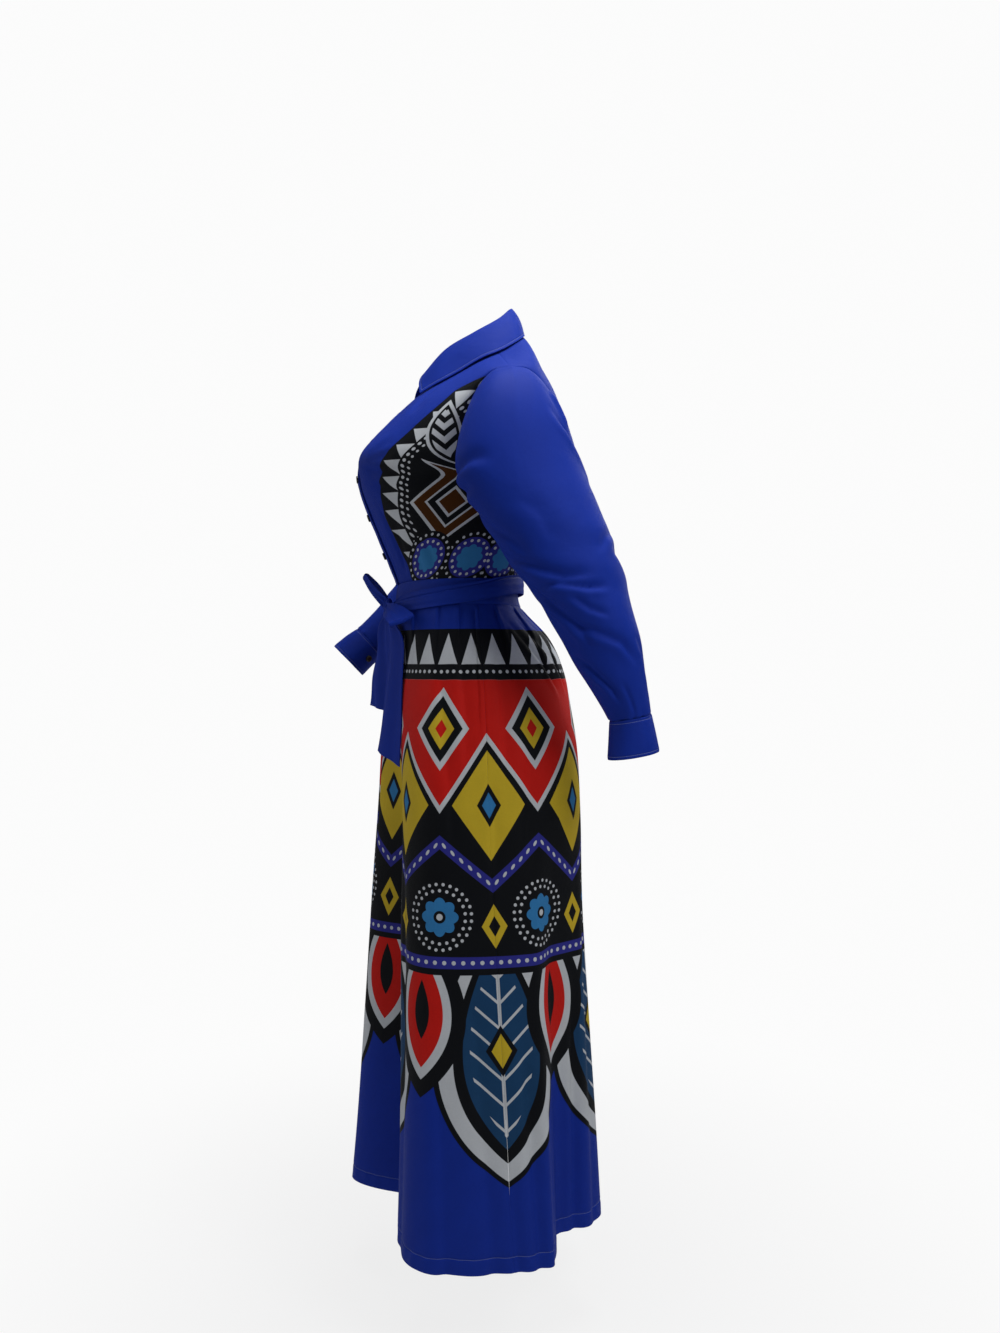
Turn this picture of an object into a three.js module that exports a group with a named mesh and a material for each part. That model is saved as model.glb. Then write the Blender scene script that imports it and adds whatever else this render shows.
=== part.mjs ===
// A long-sleeved shirt maxi dress with a tie belt, worn open at the throat and filled out with no wearer.
// Millimetres. +Z is up, the front faces -Y and the wearer's left is +X. The origin is on the mid-line at
// the height of the shoulder seam's neck end, where a wearer's shoulders hold the dress up.
// Every piece is a thin wall of cloth: its outer points come from sections, and its inner points lie one
// thickness behind them.

import * as THREE from "three";

// Driving sizes
const CLOTH = 1.6; // thickness of every cloth wall
const SEAM_GAP = 0.3; // space between two pieces that are sewn together
const BAND_HALF = 15; // half the width of a button band
const BAND_LIFT = CLOTH + 2.2 * SEAM_GAP; // the upper band lies this far out from the lower one
const NECK_HALF_WIDTH = 70; // from the mid-line to the neck end of the shoulder seam
const NECK_DROP_FRONT = 2.5; // how many sections down the front neckline goes
const NECK_DROP_BACK = 1.07; // the same at the back
const THROAT_GAPE = 20; // how far each front falls open at the neck
const GAPE_BOTTOM_Z = -165; // the fronts are buttoned from here down
const GAPE_TOP_Z = -55;
const UNDERARM_LEVEL = 6; // the section at the bottom of the armhole
const WAIST_LEVEL = 10; // the section at the waist seam
const WAIST_Z = -347;
const WAISTBAND_BOTTOM_Z = -384;
const HEM_Z = -1287.5;
const BUST_X = 78; // bust fullness given by the darts
const BUST_Z = -178;
const BUST_SPREAD = 44;
const BUST_FULLNESS = 9;
const CHEST_SQUARENESS = 0.06; // the bodice is this much squarer than an ellipse above the bust
const BELT_HEIGHT = 27;
const BELT_FRONT_Z = -381;
const BELT_BACK_RISE = 32;
const BELT_PINCH = 0.6; // how much of its height the belt loses where the knot gathers it
const BELT_PINCH_WIDTH = 0.17;
const BELT_SWELL = 1.2; // how much further out the belt's middle stands than its upper edge
const BELT_FLARE = 1; // the same for its lower edge, over the skirt
const BELT_CLEARANCE = 2.9; // how far the belt's outer side lies from the skirt's top edge
const BUTTON_RADIUS = 5.6;
const BUTTON_THICKNESS = 2.4;

// Sections of the front and the back of the bodice, from the shoulder seam down to the waist seam.
// z, y: height and depth on the mid-line. edgeX, edgeY, edgeZ: where the section ends, on the armhole or
// the side seam. fall: how the height changes across the section, 1 for a straight slope.
const FRONT = [
  { z: 34, y: 0, edgeX: 190, edgeY: 0, edgeZ: -58, fall: 1 },
  { z: 8, y: -30, edgeX: 186, edgeY: -23, edgeZ: -64, fall: 1.1 },
  { z: -22, y: -70, edgeX: 181, edgeY: -43, edgeZ: -87, fall: 1.2 },
  { z: -60, y: -116, edgeX: 176, edgeY: -56, edgeZ: -120, fall: 1.6 },
  { z: -106, y: -160, edgeX: 170, edgeY: -58, edgeZ: -155, fall: 2 },
  { z: -154, y: -197, edgeX: 163, edgeY: -46, edgeZ: -184, fall: 2 },
  { z: -198, y: -199, edgeX: 158, edgeY: 10, edgeZ: -207, fall: 2 },
  { z: -244, y: -184, edgeX: 152, edgeY: 0, edgeZ: -245, fall: 2 },
  { z: -284, y: -168, edgeX: 146, edgeY: -12, edgeZ: -285, fall: 2 },
  { z: -319, y: -153, edgeX: 141, edgeY: -24, edgeZ: -320, fall: 2 },
  { z: WAIST_Z, y: -143, edgeX: 138, edgeY: -34, edgeZ: WAIST_Z, fall: 2 },
];
const BACK = [
  { z: 34, y: 0, edgeX: 190, edgeY: 0, edgeZ: -58, fall: 1 },
  { z: 50, y: 43, edgeX: 186, edgeY: 25, edgeZ: -60, fall: 1.3 },
  { z: 2, y: 62, edgeX: 181, edgeY: 46, edgeZ: -77, fall: 1.6 },
  { z: -43, y: 80, edgeX: 176, edgeY: 62, edgeZ: -103, fall: 1.9 },
  { z: -91, y: 94, edgeX: 171, edgeY: 74, edgeZ: -137, fall: 2 },
  { z: -142, y: 104, edgeX: 164, edgeY: 66, edgeZ: -175, fall: 2 },
  { z: -192, y: 102, edgeX: 158, edgeY: 10, edgeZ: -207, fall: 2 },
  { z: -240, y: 87, edgeX: 152, edgeY: 0, edgeZ: -245, fall: 2 },
  { z: -281, y: 69, edgeX: 146, edgeY: -12, edgeZ: -285, fall: 2 },
  { z: -317, y: 52, edgeX: 141, edgeY: -24, edgeZ: -320, fall: 2 },
  { z: WAIST_Z, y: 40, edgeX: 138, edgeY: -34, edgeZ: WAIST_Z, fall: 2 },
];

// Sections of the waistband and the skirt: how far they reach to the front, the back and the side, and
// where the side seam lies. square: 0 gives an ellipse, more gives a squarer section.
const SKIRT = [
  { z: WAIST_Z, front: -143, back: 40, side: 138, seamY: -34, square: 0 },
  { z: WAISTBAND_BOTTOM_Z, front: -147, back: 47, side: 141, seamY: -36, square: 0 },
  { z: -430, front: -154, back: 91, side: 152, seamY: -35, square: 0 },
  { z: -480, front: -161, back: 113, side: 163, seamY: -33, square: 0.01 },
  { z: -530, front: -166, back: 121, side: 171, seamY: -31, square: 0.03 },
  { z: -600, front: -170, back: 129, side: 178, seamY: -29, square: 0.05 },
  { z: -700, front: -176, back: 134, side: 184, seamY: -26, square: 0.05 },
  { z: -850, front: -187, back: 139, side: 194, seamY: -20, square: 0.05 },
  { z: -1000, front: -196, back: 147, side: 206, seamY: -13, square: 0.05 },
  { z: -1150, front: -206, back: 155, side: 219, seamY: -6, square: 0.05 },
  { z: HEM_Z, front: -217, back: 161, side: 230, seamY: 0, square: 0.05 },
];

// Long folds of the skirt. at: degrees round from the front towards the wearer's left. depth: how far the
// fold goes in at the hem. before, after: its width in degrees on each side. top: where it starts.
const SKIRT_FOLDS = [
  { at: 6, depth: 98, before: 20, after: 61, top: -400 },
  { at: 124, depth: 60, before: 19, after: 36, top: -690 },
  { at: 172, depth: 26, before: 16, after: 18, top: -560 },
  { at: -46, depth: 66, before: 19, after: 19, top: -430 },
  { at: -92, depth: 20, before: 14, after: 16, top: -820 },
  { at: -128, depth: 50, before: 17, after: 15, top: -640 },
];
// Pressed pleats below the waistband, which open out into the skirt.
const WAIST_PLEATS = [
  { at: 38, depth: 5, half: 6, length: 90 },
  { at: 62, depth: 7, half: 6, length: 120 },
  { at: 80, depth: 8, half: 6, length: 170 },
  { at: 108, depth: 8, half: 7, length: 130 },
  { at: 132, depth: 7, half: 7, length: 110 },
  { at: 156, depth: 6, half: 7, length: 90 },
  { at: -36, depth: 5, half: 6, length: 90 },
  { at: -60, depth: 7, half: 6, length: 120 },
  { at: -80, depth: 8, half: 6, length: 160 },
  { at: -106, depth: 8, half: 7, length: 140 },
  { at: -134, depth: 7, half: 7, length: 110 },
  { at: -158, depth: 6, half: 7, length: 90 },
];

// Sections of the sleeves below the armhole, as if both were on the wearer's left: where the section's
// front and back edges and its inner and outer sides lie.
const HANGING_SLEEVE = [
  { frontY: -70, frontZ: -236, backY: 99, backZ: -216, inX: 164, outX: 278 },
  { frontY: -28, frontZ: -300, backY: 120, backZ: -272, inX: 172, outX: 290 },
  { frontY: 17, frontZ: -368, backY: 138, backZ: -332, inX: 186, outX: 298 },
  { frontY: 56, frontZ: -430, backY: 157, backZ: -398, inX: 197, outX: 298 },
  { frontY: 92, frontZ: -489, backY: 171, backZ: -463, inX: 204, outX: 293 },
  { frontY: 115, frontZ: -526, backY: 179, backZ: -511, inX: 210, outX: 286 },
  { frontY: 127, frontZ: -547, backY: 183, backZ: -536, inX: 216, outX: 281 },
];
const BENT_SLEEVE = [
  { frontY: -73, frontZ: -222, backY: 102, backZ: -218, inX: 164, outX: 280 },
  { frontY: -75, frontZ: -242, backY: 84, backZ: -262, inX: 173, outX: 298 },
  { frontY: -78, frontZ: -253, backY: 54, backZ: -308, inX: 187, outX: 313 },
  { frontY: -90, frontZ: -266, backY: 6, backZ: -354, inX: 201, outX: 320 },
  { frontY: -120, frontZ: -310, backY: -48, backZ: -386, inX: 204, outX: 309 },
  { frontY: -156, frontZ: -358, backY: -98, backZ: -417, inX: 200, outX: 287 },
  { frontY: -187, frontZ: -393, backY: -139, backZ: -443, inX: 190, outX: 262 },
  { frontY: -201, frontZ: -407, backY: -157, backZ: -455, inX: 187, outX: 250 },
];
// Sections of the cuffs below the sleeve's last one.
const HANGING_CUFF = [
  { frontY: 126, frontZ: -572, backY: 189, backZ: -562, inX: 213, outX: 283 },
  { frontY: 124, frontZ: -599, backY: 194, backZ: -587, inX: 212, outX: 284 },
];
const BENT_CUFF = [
  { frontY: -220, frontZ: -420, backY: -174, backZ: -470, inX: 180, outX: 239 },
  { frontY: -242, frontZ: -438, backY: -193, backZ: -489, inX: 172, outX: 229 },
];
// Soft folds round a sleeve: after which share of its length, how deep, how wide and how often round it.
const SLEEVE_FOLDS = [
  { along: 0.3, depth: 3, width: 0.06, waves: 2, turn: 0.6 },
  { along: 0.46, depth: 4, width: 0.05, waves: 2, turn: 1.6 },
  { along: 0.56, depth: 4, width: 0.05, waves: 3, turn: 2.6 },
  { along: 0.7, depth: 3, width: 0.06, waves: 2, turn: 0.2 },
];

// The collar from its front end to the centre back. foldX, foldY, foldZ: the fold at the top of the stand.
// panel, edgeX, edgeLevel: where the leaf's lower edge lies on the bodice. neck: how far round the neckline
// the stand is sewn, 0.5 at the shoulder seam.
const COLLAR = [
  { foldX: 28, foldY: -107, foldZ: -30, panel: "front", edgeX: 63, edgeLevel: 2.9 },
  { foldX: 47, foldY: -74, foldZ: 5, panel: "front", edgeX: 79, edgeLevel: 2.15 },
  { foldX: 61, foldY: -34, foldZ: 28, panel: "front", edgeX: 90, edgeLevel: 1.2 },
  { foldX: 58, foldY: 4, foldZ: 52, panel: "back", edgeX: 92, edgeLevel: 0.15 },
  { foldX: 39, foldY: 27, foldZ: 75, panel: "back", edgeX: 62, edgeLevel: 0.95 },
  { foldX: 0, foldY: 36, foldZ: 84, panel: "back", edgeX: 0, edgeLevel: 1.2 },
];
const COLLAR_FRONT_TURN = Math.asin((BAND_HALF + THROAT_GAPE - 14) / NECK_HALF_WIDTH); // where it starts
const STAND_LIFT = 1.5; // space between the stand and the neckline's edge, measured upwards
const COLLAR_LIFT = 4; // how far the leaf's edge stands off the bodice

// Buttons of the front, on the centre of the upper band: heights of the open and the fastened ones.
const FRONT_BUTTON_Z = [-82, -128, -186, -244, -302];

// The bow. Each loop is a strip of the belt that runs from the knot to a fold at its tip and back. across,
// tipAcross: the way its cloth's width runs at the knot and at the tip. width, tipWidth: that width there.
// bulge, innerBulge: how far its cloth stands out from its middle line at its fullest, on either side.
const BOW_KNOT = { x: 6, y: -158.6, z: -381, radius: 13, flatness: 0.55, height: 24 };
const FAR_LOOP = {
  start: [-4, -161.5, -374],
  tip: [-40, -193.2, -328.5],
  across: [0.63, 0.31, 0.71],
  tipAcross: [0.63, 0.31, 0.71],
  width: 20,
  tipWidth: 9,
  bulge: 7.5,
  innerBulge: 6,
};
const NEAR_LOOP = {
  start: [20.6, -161, -384.5],
  tip: [112, -143, -408],
  across: [0.1, 0.25, 0.96],
  tipAcross: [-0.2, 0.88, 0.43],
  width: 16,
  tipWidth: 38,
  bulge: 10,
  innerBulge: 2,
};
const LOOP_START_HALF = 3;
const LOOP_TIP_HALF = 4;
const LOOP_CURL = 0.12; // how much nearer its middle line the edges of the cloth lie
const FAR_TAIL = [
  { innerX: 8, innerY: -161, outerX: -3, outerY: -161, innerZ: -392.6, outerZ: -392.6 },
  { innerX: 14, innerY: -160, outerX: -10, outerY: -172, innerZ: -411, outerZ: -410 },
  { innerX: 14, innerY: -158, outerX: -18, outerY: -176, innerZ: -448, outerZ: -448 },
  { innerX: 15, innerY: -159, outerX: -23, outerY: -182, innerZ: -493, outerZ: -492 },
  { innerX: 14, innerY: -162, outerX: -25, outerY: -185, innerZ: -542, outerZ: -534 },
];
const NEAR_TAIL = [
  { innerX: 9.5, innerY: -162, outerX: 17, outerY: -161, innerZ: -392.4, outerZ: -392.4 },
  { innerX: 24, innerY: -163, outerX: 52, outerY: -153, innerZ: -407, outerZ: -408 },
  { innerX: 30, innerY: -161, outerX: 76, outerY: -143, innerZ: -432, outerZ: -433 },
  { innerX: 33, innerY: -163, outerX: 82, outerY: -141, innerZ: -480, outerZ: -480 },
  { innerX: 35, innerY: -167.5, outerX: 85, outerY: -142.5, innerZ: -538, outerZ: -540 },
  { innerX: 36, innerY: -177, outerX: 88, outerY: -144, innerZ: -600, outerZ: -620 },
];

// How finely each piece is divided
const FINE = {
  skirtAcross: 54,
  skirtDown: 13,
  bodiceAcross: 12,
  bodiceDown: 13,
  sleeveRound: 22,
  sleeveCap: 6,
  sleeveDown: 13,
  cuffRound: 18,
  beltRound: 44,
  collarAcross: 24,
  solveSteps: 26,
};

const royalBlue = new THREE.MeshStandardMaterial({ color: 0x1a2fc4, roughness: 0.55, metalness: 0 });
const printed = new THREE.MeshStandardMaterial({ color: 0x10131c, roughness: 0.6, metalness: 0 });
const black = new THREE.MeshStandardMaterial({ color: 0x0b0b0d, roughness: 0.3, metalness: 0 });

const { lerp, clamp } = THREE.MathUtils;
const degrees = THREE.MathUtils.degToRad;
const smooth = (t) => THREE.MathUtils.smoothstep(t, 0, 1);
const range = (count) => Array.from({ length: count + 1 }, (_, i) => i / count);

// A value between four rows of a table, on a smooth curve.
function curveValue(before, from, to, after, t) {
  const slopeFrom = (to - before) / 2;
  const slopeTo = (after - from) / 2;
  const t2 = t * t;
  const t3 = t2 * t;
  const placed = (2 * t3 - 3 * t2 + 1) * from + (3 * t2 - 2 * t3) * to;
  return placed + (t3 - 2 * t2 + t) * slopeFrom + (t3 - t2) * slopeTo;
}

// All the numbers of a table at a place between its rows.
function rowAt(table, place) {
  const last = table.length - 1;
  const index = Math.min(Math.floor(clamp(place, 0, last)), last - 1);
  const pick = (i) => table[clamp(i, 0, last)];
  const row = {};
  for (const [name, value] of Object.entries(table[index])) {
    if (typeof value === "number") {
      const before = index > 0 ? pick(index - 1)[name] : 2 * value - pick(1)[name];
      const next = pick(index + 1)[name];
      const after = index + 2 <= last ? pick(index + 2)[name] : 2 * next - value;
      row[name] = curveValue(before, value, next, after, clamp(place, 0, last) - index);
    }
  }
  return row;
}

// The place in a table where its falling column z has a given height.
function placeOfHeight(table, z) {
  let low = 0;
  let high = table.length - 1;
  for (let i = 0; i < FINE.solveSteps; i += 1) {
    const middle = (low + high) / 2;
    if (rowAt(table, middle).z > z) low = middle;
    else high = middle;
  }
  return (low + high) / 2;
}

// A rounded section: how far across and how far forward of its ends a point at an angle lies.
const across = (angle, square) => (Math.sin(angle) + square * Math.sin(3 * angle)) / (1 - square);
const forward = (angle, square) => (Math.cos(angle) - square * Math.cos(3 * angle)) / (1 - square);
const bodiceSquareness = (level) => CHEST_SQUARENESS * smooth((WAIST_LEVEL - level) / 5);

// A section of the bodice. Below the underarm the front and the back end on one side seam.
const SIDE_SEAM = FRONT.slice(UNDERARM_LEVEL).map(({ edgeX, edgeY, edgeZ }) => ({ edgeX, edgeY, edgeZ }));
function bodiceSection(table, level) {
  const row = rowAt(table, level);
  return level < UNDERARM_LEVEL ? row : { ...row, ...rowAt(SIDE_SEAM, level - UNDERARM_LEVEL) };
}

// A point of the bodice. The angle runs from 0 on the mid-line to a quarter turn at the section's end.
function bodicePoint(table, level, angle) {
  const row = bodiceSection(table, level);
  const square = bodiceSquareness(level);
  const share = across(angle, square);
  const x = row.edgeX * share;
  const z = lerp(row.z, row.edgeZ, Math.abs(share) ** row.fall);
  let y = lerp(row.edgeY, row.y, forward(angle, square));
  if (table === FRONT) {
    const sideways = (Math.abs(x) - BUST_X) / BUST_SPREAD;
    const upDown = (z - BUST_Z) / BUST_SPREAD;
    y -= BUST_FULLNESS * Math.exp(-(sideways ** 2) - upDown ** 2);
  }
  return new THREE.Vector3(x, y, z);
}

// The angle at which a section of the bodice is a given way from the mid-line.
function bodiceAngle(table, level, x) {
  const wanted = Math.abs(x) / bodiceSection(table, level).edgeX;
  const square = bodiceSquareness(level);
  let low = 0;
  let high = Math.PI / 2;
  for (let i = 0; i < FINE.solveSteps; i += 1) {
    const middle = (low + high) / 2;
    if (across(middle, square) < wanted) low = middle;
    else high = middle;
  }
  return Math.sign(x) * ((low + high) / 2);
}

// A point lifted off the bodice along its normal.
function liftedBodicePoint(table, level, angle, lift) {
  const step = 0.02;
  const at = bodicePoint(table, level, angle);
  const along = bodicePoint(table, level, angle + step).sub(bodicePoint(table, level, angle - step));
  const below = Math.min(level + step, WAIST_LEVEL);
  const down = bodicePoint(table, below, angle).sub(bodicePoint(table, Math.max(level - step, 0), angle));
  const normal = along.cross(down).normalize();
  const facesOut = table === FRONT ? normal.y < 0 || normal.z > 0.5 : normal.y > 0 || normal.z > 0.5;
  return at.addScaledVector(normal, facesOut ? lift : -lift);
}

// How far the fronts have fallen open at a height.
const gape = (z) => THROAT_GAPE * smooth((z - GAPE_BOTTOM_Z) / (GAPE_TOP_Z - GAPE_BOTTOM_Z));

// A closed wall from a grid of outer points. Its inner points lie one thickness behind them. ring: the
// columns close on themselves. middle: gives a point inside the piece. flatten: turns a normal at a seam.
function wall(grid, { ring = false, middle, thickness = CLOTH, flatten = null }) {
  const rows = grid.length;
  const columns = grid[0].length;
  const at = (i, j) => {
    const column = ring ? (j + columns) % columns : clamp(j, 0, columns - 1);
    return grid[clamp(i, 0, rows - 1)][column];
  };
  const normals = grid.map((line, i) =>
    line.map((_, j) => {
      const alongRow = at(i, j + 1).clone().sub(at(i, j - 1));
      const alongColumn = at(i + 1, j).clone().sub(at(i - 1, j));
      return alongRow.cross(alongColumn).normalize();
    }),
  );
  let facing = 0;
  grid.forEach((line, i) =>
    line.forEach((point, j) => {
      facing += normals[i][j].dot(point.clone().sub(middle(point)));
    }),
  );
  const outward = facing > 0 ? 1 : -1;
  const outer = [];
  const inner = [];
  grid.forEach((line, i) =>
    line.forEach((point, j) => {
      const normal = normals[i][j].multiplyScalar(outward);
      if (flatten) flatten(normal, i, j, rows, columns);
      outer.push(point);
      inner.push(point.clone().addScaledVector(normal, -thickness));
    }),
  );
  return closedWall(outer, inner, rows, columns, ring, outward > 0);
}

// Joins an outer and an inner sheet of points with rims into one closed body.
function closedWall(outer, inner, rows, columns, ring, turned) {
  const positions = [...outer, ...inner].flatMap((p) => [p.x, p.y, p.z]);
  const index = [];
  const outerAt = (i, j) => i * columns + (j % columns);
  const innerAt = (i, j) => outer.length + outerAt(i, j);
  const quad = (a, b, c, d) => index.push(...(turned ? [a, c, b, a, d, c] : [a, b, c, a, c, d]));
  const cells = ring ? columns : columns - 1;
  for (let i = 0; i < rows - 1; i += 1) {
    for (let j = 0; j < cells; j += 1) {
      quad(outerAt(i, j), outerAt(i, j + 1), outerAt(i + 1, j + 1), outerAt(i + 1, j));
      quad(innerAt(i, j), innerAt(i + 1, j), innerAt(i + 1, j + 1), innerAt(i, j + 1));
    }
  }
  for (let j = 0; j < cells; j += 1) {
    quad(outerAt(0, j), innerAt(0, j), innerAt(0, j + 1), outerAt(0, j + 1));
    quad(outerAt(rows - 1, j), outerAt(rows - 1, j + 1), innerAt(rows - 1, j + 1), innerAt(rows - 1, j));
  }
  if (!ring) {
    for (let i = 0; i < rows - 1; i += 1) {
      const end = columns - 1;
      quad(outerAt(i, 0), outerAt(i + 1, 0), innerAt(i + 1, 0), innerAt(i, 0));
      quad(outerAt(i, end), innerAt(i, end), innerAt(i + 1, end), outerAt(i + 1, end));
    }
  }
  const geometry = new THREE.BufferGeometry();
  geometry.setAttribute("position", new THREE.Float32BufferAttribute(positions, 3));
  geometry.setIndex(index);
  if (signedVolume(geometry) < 0) index.reverse();
  geometry.setIndex(index);
  geometry.computeVertexNormals();
  return geometry;
}

function signedVolume(geometry) {
  const corner = geometry.getAttribute("position");
  const order = geometry.getIndex().array;
  const [a, b, c] = [new THREE.Vector3(), new THREE.Vector3(), new THREE.Vector3()];
  let volume = 0;
  for (let i = 0; i < order.length; i += 3) {
    a.fromBufferAttribute(corner, order[i]);
    b.fromBufferAttribute(corner, order[i + 1]);
    c.fromBufferAttribute(corner, order[i + 2]);
    volume += a.dot(b.cross(c)) / 6;
  }
  return volume;
}

function piece(name, geometry, material) {
  const mesh = new THREE.Mesh(geometry, material);
  mesh.name = name;
  return mesh;
}

// Inside the body of the dress, level with a point.
const bodyMiddle = (point) => new THREE.Vector3(0, -20, Math.min(point.z, 0) - 30);

// The neckline: across it at an angle from the mid-line, and how many sections down.
const neckX = (angle) => NECK_HALF_WIDTH * Math.sin(angle);
const neckLevel = (angle, drop) => drop * Math.cos(angle);

// One front. side: 1 for the wearer's left, -1 for the right. innerEdge: where it meets its band.
function frontPanel(side, innerEdge) {
  const neckShare = 0.4;
  const startAngle = Math.asin((innerEdge + THROAT_GAPE) / NECK_HALF_WIDTH);
  const edgeAngle = (level) => {
    const x = innerEdge + gape(rowAt(FRONT, level).z);
    return bodiceAngle(FRONT, level, x);
  };
  const seamAngle = Math.PI / 2 - SEAM_GAP / 2 / 100;
  const top = (u) => {
    if (u <= neckShare) {
      const turn = lerp(startAngle, Math.PI / 2, u / neckShare);
      const level = neckLevel(turn, NECK_DROP_FRONT);
      return { level, angle: bodiceAngle(FRONT, level, neckX(turn)) };
    }
    const x = lerp(NECK_HALF_WIDTH, FRONT[0].edgeX, (u - neckShare) / (1 - neckShare));
    return { level: 0, angle: bodiceAngle(FRONT, 0, x) };
  };
  const grid = range(FINE.bodiceDown).map((v) =>
    range(FINE.bodiceAcross).map((u) => {
      const start = top(u);
      const level = lerp(start.level, WAIST_LEVEL, v);
      const topShare = (start.angle - edgeAngle(start.level)) / (seamAngle - edgeAngle(start.level));
      const share = lerp(topShare, u, smooth(v));
      const angle = Math.min(lerp(edgeAngle(level), Math.PI / 2, share), seamAngle);
      const point = bodicePoint(FRONT, level, angle);
      point.x *= side;
      if (v === 0 && u >= neckShare) point.y -= SEAM_GAP;
      return point;
    }),
  );
  const flatten = (normal, i, j, rows, columns) => {
    if ((i === 0 && j / (columns - 1) >= neckShare) || j === columns - 1) {
      normal.y = 0;
      normal.normalize();
    }
  };
  return wall(grid, { middle: bodyMiddle, flatten });
}

// The back, in one piece from armhole to armhole.
function backPanel() {
  const neckShare = 0.37;
  const seamAngle = Math.PI / 2 - SEAM_GAP / 2 / 100;
  const top = (u) => {
    const size = Math.abs(u);
    if (size <= neckShare) {
      const turn = (Math.PI / 2) * (size / neckShare);
      const level = neckLevel(turn, NECK_DROP_BACK);
      return { level, angle: bodiceAngle(BACK, level, neckX(turn)) };
    }
    const x = lerp(NECK_HALF_WIDTH, BACK[0].edgeX, (size - neckShare) / (1 - neckShare));
    return { level: 0, angle: bodiceAngle(BACK, 0, x) };
  };
  const columns = 2 * FINE.bodiceAcross;
  const grid = range(FINE.bodiceDown).map((v) =>
    range(columns).map((share) => {
      const u = 2 * share - 1;
      const start = top(u);
      const level = lerp(start.level, WAIST_LEVEL, v);
      const turned = lerp(start.angle / (Math.PI / 2), Math.abs(u), smooth(v)) * (Math.PI / 2);
      const point = bodicePoint(BACK, level, Math.min(turned, seamAngle));
      point.x *= Math.sign(u);
      if (v === 0 && Math.abs(u) >= neckShare) point.y += SEAM_GAP;
      return point;
    }),
  );
  const flatten = (normal, i, j, rows, total) => {
    const u = Math.abs((2 * j) / (total - 1) - 1);
    if ((i === 0 && u >= neckShare) || u === 1) {
      normal.y = 0;
      normal.normalize();
    }
  };
  return wall(grid, { middle: bodyMiddle, flatten });
}

// A button band between two lines beside the mid-line, which fall open at the neck towards one side.
function buttonBand(fromX, toX, side, lift) {
  const neckTurn = (x) => Math.asin(Math.abs(x) / NECK_HALF_WIDTH);
  const panelTop = neckLevel(neckTurn(BAND_HALF + SEAM_GAP + THROAT_GAPE), NECK_DROP_FRONT);
  const grid = range(FINE.bodiceDown).map((v) =>
    range(3).map((u) => {
      const line = lerp(fromX, toX, u);
      const onNeckline = neckLevel(neckTurn(line + side * THROAT_GAPE), NECK_DROP_FRONT);
      const level = v === 0 ? onNeckline : lerp(panelTop, WAIST_LEVEL, v);
      const angle = bodiceAngle(FRONT, level, line + side * gape(rowAt(FRONT, level).z));
      return lift ? liftedBodicePoint(FRONT, level, angle, lift) : bodicePoint(FRONT, level, angle);
    }),
  );
  return wall(grid, { middle: bodyMiddle });
}

// One half of the collar as a list of places from its front end to the centre back.
function collarHalf() {
  return range(FINE.collarAcross / 2).map((s) => {
    const place = s * (COLLAR.length - 1);
    const row = rowAt(COLLAR, place);
    const fold = new THREE.Vector3(row.foldX, row.foldY, row.foldZ);
    const leaf = leafEdge(s);
    const isFront = s < 0.5;
    const turn = isFront ? lerp(COLLAR_FRONT_TURN, Math.PI / 2, 2 * s) : lerp(Math.PI / 2, 0, 2 * s - 1);
    const table = isFront ? FRONT : BACK;
    const level = neckLevel(turn, isFront ? NECK_DROP_FRONT : NECK_DROP_BACK);
    const base = bodicePoint(table, level, bodiceAngle(table, level, neckX(turn)));
    return { fold, leaf, base };
  });
}

// The lower edge of the collar's leaf lies just off the bodice, and crosses the shoulder seam.
function leafEdge(s) {
  const place = s * (COLLAR.length - 1);
  const signedLevel = COLLAR.map((row) => ({
    level: row.panel === "front" ? -row.edgeLevel : row.edgeLevel,
    x: row.edgeX,
  }));
  const row = rowAt(signedLevel, place);
  const table = row.level < 0 ? FRONT : BACK;
  const level = Math.abs(row.level);
  const point = bodicePoint(table, level, bodiceAngle(table, level, Math.max(row.x, 0)));
  const onShoulder = Math.exp(-((row.level / 0.8) ** 2));
  const away = new THREE.Vector3(0, row.level < 0 ? -1 : 1, 0.45);
  away.lerp(new THREE.Vector3(0.2, 0, 1), onShoulder).normalize();
  return point.addScaledVector(away, COLLAR_LIFT);
}

const mirrored = (point) => new THREE.Vector3(-point.x, point.y, point.z);
const neckMiddle = (point) => new THREE.Vector3(0, clamp(point.y * 0.4, -40, 10), point.z - 10);

// Both halves of a row of collar points, from the right front end round the back to the left.
function bothHalves(half) {
  return [...half.map(mirrored), ...half.slice(0, -1).reverse()];
}

function collarLeaf() {
  const half = collarHalf();
  const rows = range(4).map((v) =>
    bothHalves(
      half.map(({ fold, leaf }) => {
        const point = fold.clone().lerp(leaf, v);
        const out = new THREE.Vector3(fold.x, fold.y + 12, 0).normalize();
        const proud = lerp(2.3, 0, v) + 3.5 * Math.sin(Math.PI * v) * (1 - 0.4 * v);
        return point.addScaledVector(out, proud);
      }),
    ),
  );
  return wall(rows, { middle: neckMiddle });
}

function collarStand() {
  const half = collarHalf();
  const rows = range(2).map((v) =>
    bothHalves(
      half.map(({ fold, base }) => {
        const foot = base.clone().add(new THREE.Vector3(0, 0, STAND_LIFT));
        return foot.lerp(fold, v);
      }),
    ),
  );
  return wall(rows, { middle: neckMiddle });
}

// The armhole as a closed line. turn: 0 at the shoulder, a quarter at the front, a half at the underarm.
function armholePoint(turn) {
  const isFront = turn <= Math.PI;
  const level = UNDERARM_LEVEL * (isFront ? turn / Math.PI : (2 * Math.PI - turn) / Math.PI);
  return bodicePoint(isFront ? FRONT : BACK, level, Math.PI / 2);
}

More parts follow.
